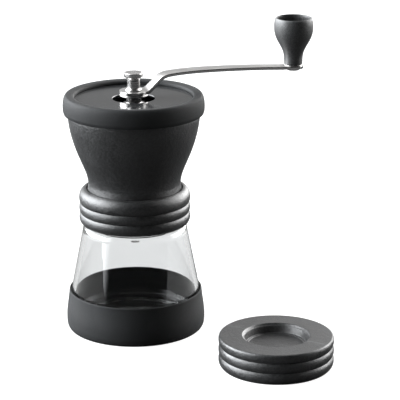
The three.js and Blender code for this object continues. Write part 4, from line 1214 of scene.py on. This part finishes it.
@dataclass
class Burrs:
    """The conical ceramic burrs and the inner one's keyed core."""

    teeth: int = 14
    depth: float = 1.3
    twist: float = 0.5
    layers: int = 12
    gap: float = 0.9
    top_radius: float = 8.6
    core_radius: float = 5.4
    core_flange_radius: float = 8.0
    inner: NodeBox = field(default_factory=lambda: NodeBox("inner_burr"))
    outer: NodeBox = field(default_factory=lambda: NodeBox("outer_burr"))
    core: NodeBox = field(default_factory=lambda: NodeBox("burr_core"))

    def toothed(self, name: str, radius: float, top_radius: float, depth: float, bottom: float,
                height: float) -> bpy.types.Object:
        """A toothed cone, drawn up layer by layer while it narrows and twists.

        Args:
            name: name of the new object.
            radius: radius of the crests at the bottom.
            top_radius: radius of the crests at the top.
            depth: how far the grooves lie outside the crests, or inside if negative.
            bottom: height of its lower face.
            height: its height.

        Returns:
            The cone.
        """
        deselect_all()
        bpy.ops.mesh.primitive_circle_add(vertices=4 * self.teeth, radius=radius * MM, fill_type="NGON",
                                          location=(0, 0, bottom * MM))
        cone = named(name)
        grooves = [index % 4 < 2 for index in range(4 * self.teeth)]
        bpy.ops.object.mode_set(mode="EDIT")
        bpy.ops.mesh.select_mode(type="VERT")
        bpy.ops.mesh.select_all(action="DESELECT")
        bpy.ops.object.mode_set(mode="OBJECT")
        for vertex, groove in zip(cone.data.vertices, grooves):
            vertex.select = groove
        bpy.ops.object.mode_set(mode="EDIT")
        grown = 1 + depth / radius
        bpy.ops.transform.resize(value=(grown, grown, 1), center_override=(0, 0, bottom * MM))
        bpy.ops.mesh.select_all(action="SELECT")
        for layer in range(self.layers):
            now = radius + (top_radius - radius) * layer / self.layers
            following = radius + (top_radius - radius) * (layer + 1) / self.layers
            rise = (0, 0, height * MM / self.layers)
            bpy.ops.mesh.extrude_region_move(TRANSFORM_OT_translate={"value": rise})
            shrink = following / now
            bpy.ops.transform.resize(value=(shrink, shrink, 1), center_override=(0, 0, 0))
            level = (bottom + height * (layer + 1) / self.layers) * MM
            bpy.ops.transform.rotate(value=self.twist / self.layers, orient_axis="Z",
                                     center_override=(0, 0, level))
        close_up(cone)
        return cone

    def make_outer(self) -> None:
        """The outer burr: a ring with the toothed cone cut out of it."""
        low, high = self.outer.bottom, self.outer.top
        body = turned("outer_burr_ring",
                      [(0.0, low), (self.outer.radius, low, 0.6), (self.outer.radius, high, 0.6),
                                          (0.0, high)])
        cone = self.toothed("cone", self.inner.radius + self.gap, self.top_radius + self.gap, self.depth,
                            low - SEAT,
                            high - low + 2 * SEAT)
        combine(body, cone, Join.CUT)
        install(dress(smooth(body), Finish.CERAMIC), "head", "outer_burr")

    def make_inner(self) -> None:
        """The inner burr: the toothed cone, bored for its core."""
        low, high = self.inner.bottom, self.inner.top
        cone = self.toothed("inner_burr_cone", self.inner.radius, self.top_radius, -self.depth, low,
                            high - low)
        bore = self.core_radius + SEAT
        flange = self.core_flange_radius + SEAT
        cutter = turned("bore", [(0.0, low - 1), (flange, low - 1), (flange, low + 1.5), (bore, low + 1.5),
                                 (bore, high + 1), (0.0, high + 1)])
        combine(cone, cutter, Join.CUT)
        soften_edges(cone, 0.12)
        install(dress(cone, Finish.CERAMIC), "spindle", "inner_burr")

    def make_core(self) -> None:
        """The keyed core, with its flange under the burr."""
        low, high = self.core.bottom, self.core.top
        outline = [(KEYED_BORE, low, 0.3), (self.core_flange_radius, low, 0.4),
                   (self.core_flange_radius, low + 2, 0.3),
                   (self.core_radius, low + 2, 0.2), (self.core_radius, high, 0.5), (KEYED_BORE, high, 0.4)]
        install(dress(turned("burr_core_sleeve", outline, steps=64), Finish.BUSH), "spindle", "burr_core")

    def build(self) -> None:
        """Builds all its pieces."""
        self.make_outer()
        self.make_inner()
        self.make_core()


# ---- Spindle ---------------------------------------------------------------------------------------------


@dataclass
class Spindle:
    """The shaft and the small turned pieces on it."""

    radius: float = 3.5
    flat: float = 2.8
    stud: float = 2.9
    stud_length: float = 8.5
    wire: float = 0.6
    coils: float = 6.0
    coil_radius: float = 5.4
    burr_travel: float = 0.8
    adjust_collar: float = 5.0
    adjust_flange: float = 2.2
    notches: int = 4
    notch_width: float = 2.4
    notch_depth: float = 1.7
    shaft: NodeBox = field(default_factory=lambda: NodeBox("shaft"))
    core: NodeBox = field(default_factory=lambda: NodeBox("burr_core"))
    drive: NodeBox = field(default_factory=lambda: NodeBox("drive_washer"))
    nut: NodeBox = field(default_factory=lambda: NodeBox("adjust_nut"))
    arm: NodeBox = field(default_factory=lambda: NodeBox("crank_arm"))

    def make_shaft(self) -> None:
        """The shaft: chamfered studs at both ends, and two pairs of flats."""
        low, high = self.shaft.bottom, self.shaft.top
        hub_top = high - self.stud_length
        lower, upper = self.core.bottom - SEAT, self.drive.bottom - 1.1
        outline = [(0.0, low), (self.stud, low, 0.6), (self.stud, lower, 0.1), (self.radius, lower, 0.2),
                   (self.radius, hub_top, 0.3), (self.stud, hub_top, 0.1), (self.stud, high, 0.8),
                   (0.0, high)]
        shaft = turned("shaft_bar", outline, steps=64)
        for bottom, top in ((lower - 0.1, self.core.top + 1), (upper, hub_top + 0.1)):
            for side in (1, -1):
                near, far = side * self.flat, side * (self.radius + 1)
                cutter = block("flat", (-6, min(near, far), bottom), (6, max(near, far), top))
                combine(shaft, cutter, Join.CUT)
        install(dress(smooth(shaft), Finish.STEEL), "spindle", "shaft")

    def make_washers(self) -> None:
        """The flat washers and rings: each a softened ring in its node's place."""
        rings = (("drive_washer", "drive", KEYED_BORE, 0.25, Finish.STEEL),
                 ("end_washer", "spindle", 3.0, 0.3, Finish.STEEL),
                 ("spring_washer", "spindle", KEYED_BORE, 0.2, Finish.STEEL),
                 ("lock_ring", "spindle", KEYED_BORE, 0.5, Finish.CHROME),
                 ("knob_washer", "spindle", 2.7, 0.12, Finish.STEEL))
        for node, body, bore, soft, finish in rings:
            box = NodeBox(node)
            outline = square_ring(bore, box.radius, box.bottom, box.top, soft)
            install(dress(turned(f"{node}_disc", outline, box.centre), finish), body, node)

    def make_adjust_nut(self) -> None:
        """The adjust nut: flange, collar, and notches in its upper edge."""
        low, high = self.nut.bottom, self.nut.top
        outline = [(3.65, low, 0.3), (self.nut.radius, low, 0.4),
                   (self.nut.radius, low + self.adjust_flange, 0.5),
                   (self.adjust_collar, low + self.adjust_flange + 0.6, 0.4),
                   (self.adjust_collar, high, 0.35),
                   (3.65, high, 0.2)]
        nut = turned("adjust_nut_body", outline)
        half = self.notch_width / 2
        reach = self.adjust_collar
        cutter = block("notch", (reach - 3.1, -half, high - self.notch_depth), (reach + 3, half, high + 1))
        for notch in turned_copies(cutter, self.notches):
            combine(nut, notch, Join.CUT)
        soften_edges(nut, 0.12)
        install(dress(nut, Finish.CHROME), "adjuster", "adjust_nut")

    def make_end_nut(self) -> None:
        """The hexagon nut under the burr, with chamfered corners."""
        box = NodeBox("end_nut")
        low, high = box.bottom, box.top
        corner = (box.high.y - box.low.y) / 2
        hexagon = turned("end_nut_body", [(3.0, low), (corner, low), (corner, high), (3.0, high)], steps=6)
        cone = turned("chamfer", [(0.0, low - 0.1), (corner * 0.9, low - 0.1), (corner + 0.15, low + 0.9),
                                  (corner + 0.15, high - 0.9), (corner * 0.9, high + 0.1), (0.0, high + 0.1)])
        combine(hexagon, cone, Join.KEEP)
        soften_edges(hexagon, 0.15)
        install(dress(hexagon, Finish.STEEL), "spindle", "end_nut")

    def make_spring(self) -> None:
        """The compression spring: round wire wound from washer to bush."""
        box = NodeBox("spring")
        low, high = box.bottom + self.wire, box.top - self.wire
        sides = 14
        section = [(self.coil_radius + self.wire * 0.95 * math.cos(step * FULL_TURN / sides),
                    low + self.wire * 0.95 * math.sin(step * FULL_TURN / sides)) for step in range(sides)]
        spring = wound("spring_coil", section, self.coils, (high - low) / self.coils, 48)
        install(dress(smooth(spring), Finish.STEEL), "spindle", "spring")
        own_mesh(spring)

    def build(self) -> None:
        """Builds all its pieces."""
        self.make_shaft()
        self.make_washers()
        self.make_adjust_nut()
        self.make_end_nut()
        self.make_spring()


# ---- Crank -----------------------------------------------------------------------------------------------


@dataclass
class Crank:
    """The bent strip crank with its thumb nut, stud and hollow knob."""

    thickness: float = 2.0
    hub: float = 9.35
    rise: float = 12.1
    fall: float = 1.5
    root_width: float = 11.6
    end_width: float = 8.8
    end_radius: float = 6.7
    fillet: float = 7.0
    sections: int = 150
    nut_neck: float = 4.25
    nut_cap_height: float = 3.1
    nut_foot: float = 5.4
    knob_neck: float = 6.25
    knob_neck_height: float = 3.6
    knob_wall: float = 1.7
    knob_floor: float = 9.6
    stud: float = 2.6
    stud_head: float = 4.4
    arm: NodeBox = field(default_factory=lambda: NodeBox("crank_arm"))
    nut: NodeBox = field(default_factory=lambda: NodeBox("crank_nut"))
    knob: NodeBox = field(default_factory=lambda: NodeBox("knob"))
    rivet: NodeBox = field(default_factory=lambda: NodeBox("knob_stud"))

    @property
    def length(self) -> float:
        """Distance from the shaft to the knob's axis."""
        return self.knob.centre[0]

    @property
    def hub_top(self) -> float:
        """Height of the hub's upper face."""
        return self.arm.bottom + self.thickness

    def top_line(self) -> list[Vector]:
        """The middle line of the arm's upper face: hub, ramp, bend, long crown and level end."""
        foot, high = self.hub_top, self.hub_top + self.rise
        low = high - self.fall
        edge, ramp = self.hub, self.rise * 0.72
        bends = (
            ((edge - 2.4, foot), (edge - 0.9, foot), (edge + 0.4, foot + 1.3)),
            ((edge + ramp - 1.6, foot + ramp - 0.7), (edge + ramp + 1.4, foot + ramp + 1.8),
             (edge + ramp + 6, high - 1.2)),
            ((edge + ramp + 6, high - 1.2), (edge + ramp + 16, high), (self.length * 0.45, high)),
            ((self.length * 0.45, high), (self.length * 0.7, high), (self.length - self.end_radius - 2, low)),
        )
        line = [Vector((-self.hub - 1, 0, foot))]
        for start, corner, end in bends:
            first, middle, last = (Vector((x, 0, z)) for x, z in (start, corner, end))
            pulls = first.lerp(middle, 2 / 3), last.lerp(middle, 2 / 3)
            line.extend(interpolate_bezier(first, *pulls, last, 24))
        line.append(Vector((self.length + self.end_radius + 1, 0, low)))
        return line

    def half_width(self, x: float) -> float:
        """Half the arm's width at a distance from the shaft, seen from above."""
        root, end = self.root_width / 2, self.end_width / 2
        reach = self.hub + self.fillet
        angle = math.asin((root + self.fillet) / reach)
        touch, blend_end = self.hub * math.cos(angle), reach * math.cos(angle)
        taper_end = self.length - math.sqrt(self.end_radius ** 2 - end ** 2)
        if x < touch:
            return math.sqrt(max(0.0, self.hub ** 2 - x ** 2))
        if x < blend_end:
            return root + self.fillet - math.sqrt(self.fillet ** 2 - (x - blend_end) ** 2)
        if x < taper_end:
            return root + (end - root) * (x - blend_end) / (taper_end - blend_end)
        return math.sqrt(max(0.0, self.end_radius ** 2 - (x - self.length) ** 2))

    def stations(self) -> list[float]:
        """Distances of the sections from the shaft, closer together towards both round ends."""
        middle = (self.length + self.end_radius - self.hub) / 2
        reach = (self.length + self.end_radius + self.hub) / 2
        angles = [math.pi * (step + 0.5) / self.sections for step in range(self.sections)]
        return [middle - reach * math.cos(angle) for angle in angles]

    def make_arm(self) -> None:
        """The arm: one section drawn out along the bent line, turned and widened at each station."""
        line = self.top_line()
        stations = self.stations()

        def on_line(x: float) -> tuple[Vector, float]:
            """The point of the upper face at a distance from the shaft, and the slope there."""
            after = next(index for index, point in enumerate(line) if point.x >= x)
            first, second = line[after - 1], line[after]
            share = (x - first.x) / max(1e-9, second.x - first.x)
            step = second - first
            return first.lerp(second, share), math.atan2(step.z, step.x)

        def middle(x: float) -> tuple[Vector, float]:
            """The middle of the section at a distance from the shaft, and its slope."""
            point, slope = on_line(x)
            _, before = on_line(max(line[0].x + 0.01, x - 0.6))
            _, after = on_line(min(line[-1].x - 0.01, x + 0.6))
            slope = (before + slope + after) / 3
            down = Vector((math.sin(slope), 0, -math.cos(slope)))
            return point + down * self.thickness / 2, slope

        place, slope = middle(stations[0])
        width = self.half_width(stations[0])
        deselect_all()
        bpy.ops.mesh.primitive_plane_add(size=MM, location=place * MM, rotation=(0, math.pi / 2, 0))
        arm = named("crank_strip")
        bpy.ops.object.mode_set(mode="EDIT")
        bpy.ops.mesh.select_all(action="SELECT")
        bpy.ops.transform.resize(value=(1, 2 * width, self.thickness), center_override=place * MM)
        for x in stations[1:]:
            next_place, next_slope = middle(x)
            next_width = self.half_width(x)
            bpy.ops.mesh.extrude_region_move(TRANSFORM_OT_translate={"value": (next_place - place) * MM})
            bpy.ops.transform.resize(value=(1, next_width / width, 1), center_override=next_place * MM)
            turn = next_slope - slope
            if abs(turn) > 1e-5:
                bpy.ops.transform.rotate(value=turn, orient_axis="Y", center_override=next_place * MM)
            place, slope, width = next_place, next_slope, next_width
        close_up(arm)
        hub_hole = turned("hole",
                          [(0.0, self.hub_top - 4), (KEYED_BORE, self.hub_top - 4), (KEYED_BORE, self.hub_top + 2),
                                   (0.0, self.hub_top + 2)], steps=48)
        end_top = self.hub_top + self.rise
        end_hole = turned("hole",
                          [(0.0, end_top - 8), (2.7, end_top - 8), (2.7, end_top + 2), (0.0, end_top + 2)],
                          (self.length, 0.0), steps=48)
        for hole in (hub_hole, end_hole):
            combine(arm, hole, Join.CUT)
        soften_edges(arm, 0.3)
        dress(arm, Finish.STRIP_EDGE, Finish.STRIP_FACE)
        # Side edges take the brighter copy of the strip's chrome, a painted highlight along the edge; the upper
        # and lower faces take the strip's own colour.
        for face in arm.data.polygons:
            face.material_index = int(abs(face.normal.y) < 0.25 and abs(face.normal.z) > 0.5)
        install(arm, "spindle", "crank_arm")

    def make_nut(self) -> None:
        """The thumb nut: spread foot, waisted neck and domed cap."""
        low, high = self.nut.bottom, self.nut.top
        cap = high - self.nut_cap_height
        wide, neck = self.nut.radius, self.nut_neck
        bore, bore_top = 3.0, low + 9.0
        outline = [
            (0.0, bore_top),
            (bore, bore_top),
            (bore, low, 0.3),
            (self.nut_foot, low, 0.25),
            (self.nut_foot, low + 0.7, 0.3),
            *curve((neck + 0.5, low + 1.2), (neck + 0.05, low + 1.4), (neck, low + 1.8), (neck, low + 2.6),
                   8),
            *curve((neck, cap - 2.6), (neck, cap - 1.2), (neck + 0.8, cap - 0.2), (wide - 0.6, cap), 10),
            (wide, cap + 0.2, 0.25),
            (wide, high - 0.15, 0.6),
            *curve((wide - 0.9, high), (wide - 2.4, high), (1.5, high), (0.0, high), 6),
        ]
        install(dress(turned("thumb_nut_body", outline), Finish.CHROME), "thumb_nut", "crank_nut")

    def make_knob(self) -> None:
        """The knob: slim neck, cup-shaped body with a rounded rim, open inside."""
        low, high, wide = self.knob.bottom, self.knob.top, self.knob.radius
        neck, neck_top, belly = self.knob_neck, self.knob.bottom + self.knob_neck_height, self.knob.top - 6.3
        floor, inner = low + self.knob_floor, wide - self.knob_wall
        bore = self.stud + 0.09
        outline = [
            (bore, low, 0.2),
            (neck - 0.1, low, 0.5),
            *curve((neck, neck_top), (neck, neck_top + 9), (wide, belly - 10), (wide, belly), 26),
            *curve((wide, belly + 1), (wide, belly + 3), (wide - 0.5, high - 1.2), (wide - 0.7, high - 0.8),
                   8),
            (wide - 1.1, high, 0.5),
            (inner + 0.1, high, 0.5),
            *curve((inner - 0.2, high - 1.4), (inner, high - 4), (inner, belly - 2),
                   (inner - 0.1, belly - 3), 8),
            *curve((inner - 0.3, belly - 4), (inner - 1.6, belly - 10), (self.stud_head + 0.9, floor + 6),
                   (self.stud_head + 0.6, floor), 18),
            (bore, floor, 0.2),
        ]
        knob = turned("knob_cup", outline, (self.length, 0.0))
        install(dress(knob, Finish.KNOB), "knob", "knob")

    def make_rivet(self) -> None:
        """The knob's stud: riveted under the arm and headed in the knob's hollow."""
        low, high = self.rivet.bottom, self.rivet.top
        under, head = self.hub_top + self.rise - self.fall - self.thickness - SEAT, high - 1.5
        outline = [(0.0, low), (self.stud_head, low, 0.9), (self.stud_head, under, 0.2), (self.stud, under),
                   (self.stud, head), (self.stud_head, head, 0.2), (self.stud_head, high, 0.9), (0.0, high)]
        rivet = turned("knob_rivet", outline, (self.length, 0.0), steps=48)
        install(dress(rivet, Finish.STEEL), "spindle", "knob_stud")

    def build(self) -> None:
        """Builds all its pieces."""
        self.make_arm()
        self.make_nut()
        self.make_rivet()
        self.make_knob()


# ---- Lids ------------------------------------------------------------------------------------------------


@dataclass
class HopperLid:
    """The rubber rim and the smoked window of the hopper's lid."""

    opening: float = 39.0
    lip: float = 38.0
    bore: float = 44.05
    hole: float = 13.9
    rim: NodeBox = field(default_factory=lambda: NodeBox("lid_rim"))
    window: NodeBox = field(default_factory=lambda: NodeBox("lid_window"))
    hopper: NodeBox = field(default_factory=lambda: NodeBox("hopper"))

    def make_rim(self) -> None:
        """The rim: full rounded outside, sloping inner face, and a groove that holds the window."""
        low, high, wide = self.rim.bottom, self.rim.top, self.rim.radius
        mouth = self.hopper.top
        outline = [
            (self.bore, low, 0.3),
            (wide - 0.7, low, 0.5),
            (wide - 0.1, low + 2, 2.0),
            *curve((wide, mouth - 0.6), (wide, mouth + 2.6), (wide - 0.6, high), (wide - 2.8, high), 16),
            *curve((self.opening + 3.6, high - 0.1), (self.opening + 1.6, high - 0.1),
                   (self.opening, high - 0.7),
                   (self.opening, high - 2.0), 10),
            (self.opening, self.window.top + SEAT, 0.1),
            (self.window.radius + SEAT, self.window.top + SEAT, 0.1),
            (self.window.radius + SEAT, self.window.bottom - SEAT, 0.1),
            (self.lip, self.window.bottom - SEAT, 0.3),
            (self.lip, mouth + SEAT, 0.4),
            (self.bore, mouth + SEAT, 0.3),
        ]
        install(dress(turned("lid_rim_ring", outline, steps=128), Finish.RUBBER), "lid", "lid_rim")

    def make_window(self) -> None:
        """The window: a flat disc with a softened hole."""
        low, high = self.window.bottom, self.window.top
        outline = [(self.hole, low, 0.4), (self.window.radius, low, 0.2), (self.window.radius, high, 0.2),
                   (self.hole, high, 0.6)]
        install(dress(turned("lid_window_disc", outline, steps=128), Finish.WINDOW), "lid", "lid_window")

    def build(self) -> None:
        """Builds both pieces."""
        self.make_rim()
        self.make_window()


@dataclass
class StorageLid:
    """The screw lid that closes the jar when the mill head is off, and its seal."""

    recess: float = 21.0
    floor_radius: float = 18.6
    depth: float = 6.2
    roof: float = 2.6
    floor: float = 2.0
    seal_seat: float = 14.6
    lid: NodeBox = field(default_factory=lambda: NodeBox("storage_lid"))
    seal: NodeBox = field(default_factory=lambda: NodeBox("storage_lid_seal"))
    thread: JarThread = field(default_factory=JarThread)
    skirt: RibbedSkirt = field(default_factory=RibbedSkirt)

    def make_lid(self) -> None:
        """The lid: ribbed skirt, flat top, round recess with a stepped lip, and an inner thread."""
        top, bore = self.lid.top, self.thread.bore
        x, y = self.lid.centre
        recess_floor = top - self.depth
        rib = self.skirt.top_rib(0.0)
        wide = self.skirt.radius
        outline = [
            (0.0, recess_floor - self.floor),
            (self.floor_radius + 2, recess_floor - self.floor, 1.0),
            (self.recess + self.roof, recess_floor, 1.0),
            (self.recess + self.roof, top - self.roof, 0.5),
            (self.thread.neck - 3, top - self.roof, 0.5),
            (self.thread.neck - 3, self.seal_seat, 0.3),
            (bore, self.seal_seat, 0.3),
            (bore, 0.8, 0.2),
            (bore + 0.6, 0.0, 0.2),
            *self.skirt.wall(0.0),
            *curve((wide, rib + 0.3), (wide, top - 1.6), (wide - 0.2, top - 0.1), (wide - 1.3, top), 10),
            (self.recess + 0.9, top, 0.5),
            (self.recess - 0.1, top - 1.3, 0.5),
            (self.recess - 0.5, top - 1.5, 0.3),
            (self.floor_radius + 0.7, recess_floor + 0.5, 0.5),
            (self.floor_radius - 0.3, recess_floor + 0.4, 0.3),
            (self.floor_radius - 0.8, recess_floor, 0.3),
            (0.0, recess_floor),
        ]
        lid = turned("storage_lid_body", outline, steps=128)
        combine(lid, self.thread.ridge("lid thread", bore, False, 4.4), Join.ADD)
        smooth(lid)
        lid.location = (x * MM, y * MM, 0)
        bpy.ops.object.transform_apply(location=True, rotation=False, scale=False)
        install(dress(lid, Finish.BODY), "storage_lid", "storage_lid")

    def make_seal(self) -> None:
        """The lid's seal ring."""
        outline = square_ring(self.thread.neck - 2.6, self.seal.radius, self.seal.bottom, self.seal.top, 0.4)
        seal = turned("storage_seal_ring", outline, self.seal.centre)
        install(dress(seal, Finish.SEAL), "storage_lid", "storage_lid_seal")

    def build(self) -> None:
        """Builds both pieces."""
        self.make_lid()
        self.make_seal()


# ---- Studio ----------------------------------------------------------------------------------------------


@dataclass(frozen=True)
class SoftLamp:
    """A soft patch of light in the surround, with no edge."""

    towards: tuple[float, float, float]
    outer: float  # cosine of the angle at which it starts
    inner: float  # cosine of the angle at which it is full
    strength: float
    warmth: float

    def add_to(self, graph: Graph, direction: bpy.types.NodeSocket, share: float) -> bpy.types.NodeSocket:
        """Adds the patch to the surround's tree.

        Args:
            graph: the surround's tree.
            direction: the direction looked in.
            share: how much of it is left when it is seen through glass.

        Returns:
            Its background shader.
        """
        aim = tuple(Vector(self.towards).normalized())
        nearness = graph.add("VectorMath", {0: direction, 1: aim}, operation="DOT_PRODUCT")
        patch_shape = graph.ramp(nearness.outputs["Value"], self.outer, self.inner)
        through = graph.add("LightPath").outputs["Is Transmission Ray"]
        full = graph.between(through, self.strength, self.strength * share)
        strength = graph.maths("MULTIPLY", patch_shape, full)
        patch = graph.add("Background", {"Color": tone(1.0, self.warmth), "Strength": strength})
        return patch.outputs[0]


@dataclass
class Studio:
    """The pale floor, the soft lights and the camera."""

    camera_place: tuple[float, float, float] = (-0.2765, -1.1975, 0.4602)
    camera_aim: tuple[float, float, float] = (0.2482, 0.9242, -0.2902)
    lens: float = 173.07
    floor_size: float = 14.0
    floor_glow: float = 0.9
    glow_through_glass: float = 0.8
    lamp_through_glass: float = 0.15
    lamps: tuple[SoftLamp, ...] = (
        SoftLamp((-0.9, 0.42, 0.24), 0.62, 0.99, 16.0, -0.03),
        SoftLamp((0.9, 0.4, 0.2), 0.68, 0.99, 9.0, 0.0),
    )

    def make_camera(self) -> None:
        """The camera, level and looking down on the grinder, with plain colour handling."""
        bpy.context.scene.view_settings.view_transform = "Standard"
        data = bpy.data.cameras.new("camera")
        data.lens = self.lens
        data.sensor_width = 36.0
        data.clip_end = 50.0
        camera = bpy.data.objects.new("camera", data)
        camera.location = self.camera_place
        camera.rotation_euler = Vector(self.camera_aim).to_track_quat("-Z", "Y").to_euler()
        bpy.context.scene.collection.objects.link(camera)
        bpy.context.scene.camera = camera

    def make_floor(self) -> None:
        """A plain pale floor that glows a little, so that it stays pale all over."""
        deselect_all()
        bpy.ops.mesh.primitive_plane_add(size=self.floor_size, location=(0, 0, 0))
        floor = named("floor")
        material = bpy.data.materials.new("pale floor")
        material.use_nodes = True
        graph = Graph(material.node_tree)
        path = graph.add("LightPath")
        camera = path.outputs["Is Camera Ray"]
        through = graph.maths("LESS_THAN", path.outputs["Diffuse Depth"], 0.5)
        through = graph.maths("MULTIPLY", through, path.outputs["Is Transmission Ray"])
        strength = graph.maths("ADD", graph.maths("MULTIPLY", camera, self.floor_glow),
                               graph.maths("MULTIPLY", through, self.glow_through_glass))
        glow = graph.add("Emission", {"Color": tone(1.0), "Strength": strength})
        matte = graph.add("BsdfDiffuse", {"Color": graph.blend(camera, tone(0.06), tone(0.3))})
        lit = graph.add("AddShader", {0: matte.outputs[0], 1: glow.outputs[0]})
        graph.add("OutputMaterial", {"Surface": lit.outputs[0]})
        floor.data.materials.append(material)

    def make_light(self, name: str, place: tuple[float, float, float], size: Place, power: float) -> None:
        """A rectangular softbox that faces the middle of the grinder.

        Args:
            name: name of the light.
            place: where it stands, in metres.
            size: its width and height, in metres.
            power: its power in watts.
        """
        data = bpy.data.lights.new(name, "AREA")
        data.shape = "RECTANGLE"
        data.size, data.size_y = size
        data.energy = power
        light = bpy.data.objects.new(name, data)
        light.location = place
        aim = Vector((0.03, 0, 0.1)) - Vector(place)
        light.rotation_euler = aim.to_track_quat("-Z", "Y").to_euler()
        bpy.context.scene.collection.objects.link(light)

    def make_world(self) -> None:
        """A soft surround, bright behind the grinder and dim in front of it."""
        world = bpy.data.worlds.new("studio")
        world.use_nodes = True
        bpy.context.scene.world = world
        graph = Graph(world.node_tree)
        direction = graph.add("TexCoord").outputs["Generated"]
        parts = graph.add("SeparateXYZ", {0: direction})
        behind = graph.ramp(parts.outputs[1], -0.15, 0.75)
        colour = graph.blend(behind, tone(0.02), tone(0.45))
        light = graph.add("Background", {"Color": colour, "Strength": 1.0}).outputs[0]
        for lamp in self.lamps:
            patch = lamp.add_to(graph, direction, self.lamp_through_glass)
            light = graph.add("AddShader", {0: light, 1: patch}).outputs[0]
        graph.add("OutputWorld", {"Surface": light})

    def build(self) -> None:
        """Sets up the studio."""
        self.make_camera()
        self.make_floor()
        self.make_world()
        self.make_light("top softbox", (-0.2, 0.9, 1.3), (1.2, 1.0), 3.0)


def main() -> None:
    """Builds the studio and the grinder's sub-assemblies in order."""
    logging.basicConfig(level=logging.INFO, format="%(message)s")
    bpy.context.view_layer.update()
    Studio().build()
    for assembly in (BaseAndJar(), MillHead(), Burrs(), Spindle(), Crank(), HopperLid(), StorageLid()):
        log.info("building %s", type(assembly).__name__)
        assembly.build()


if __name__ == "__main__":
    main()
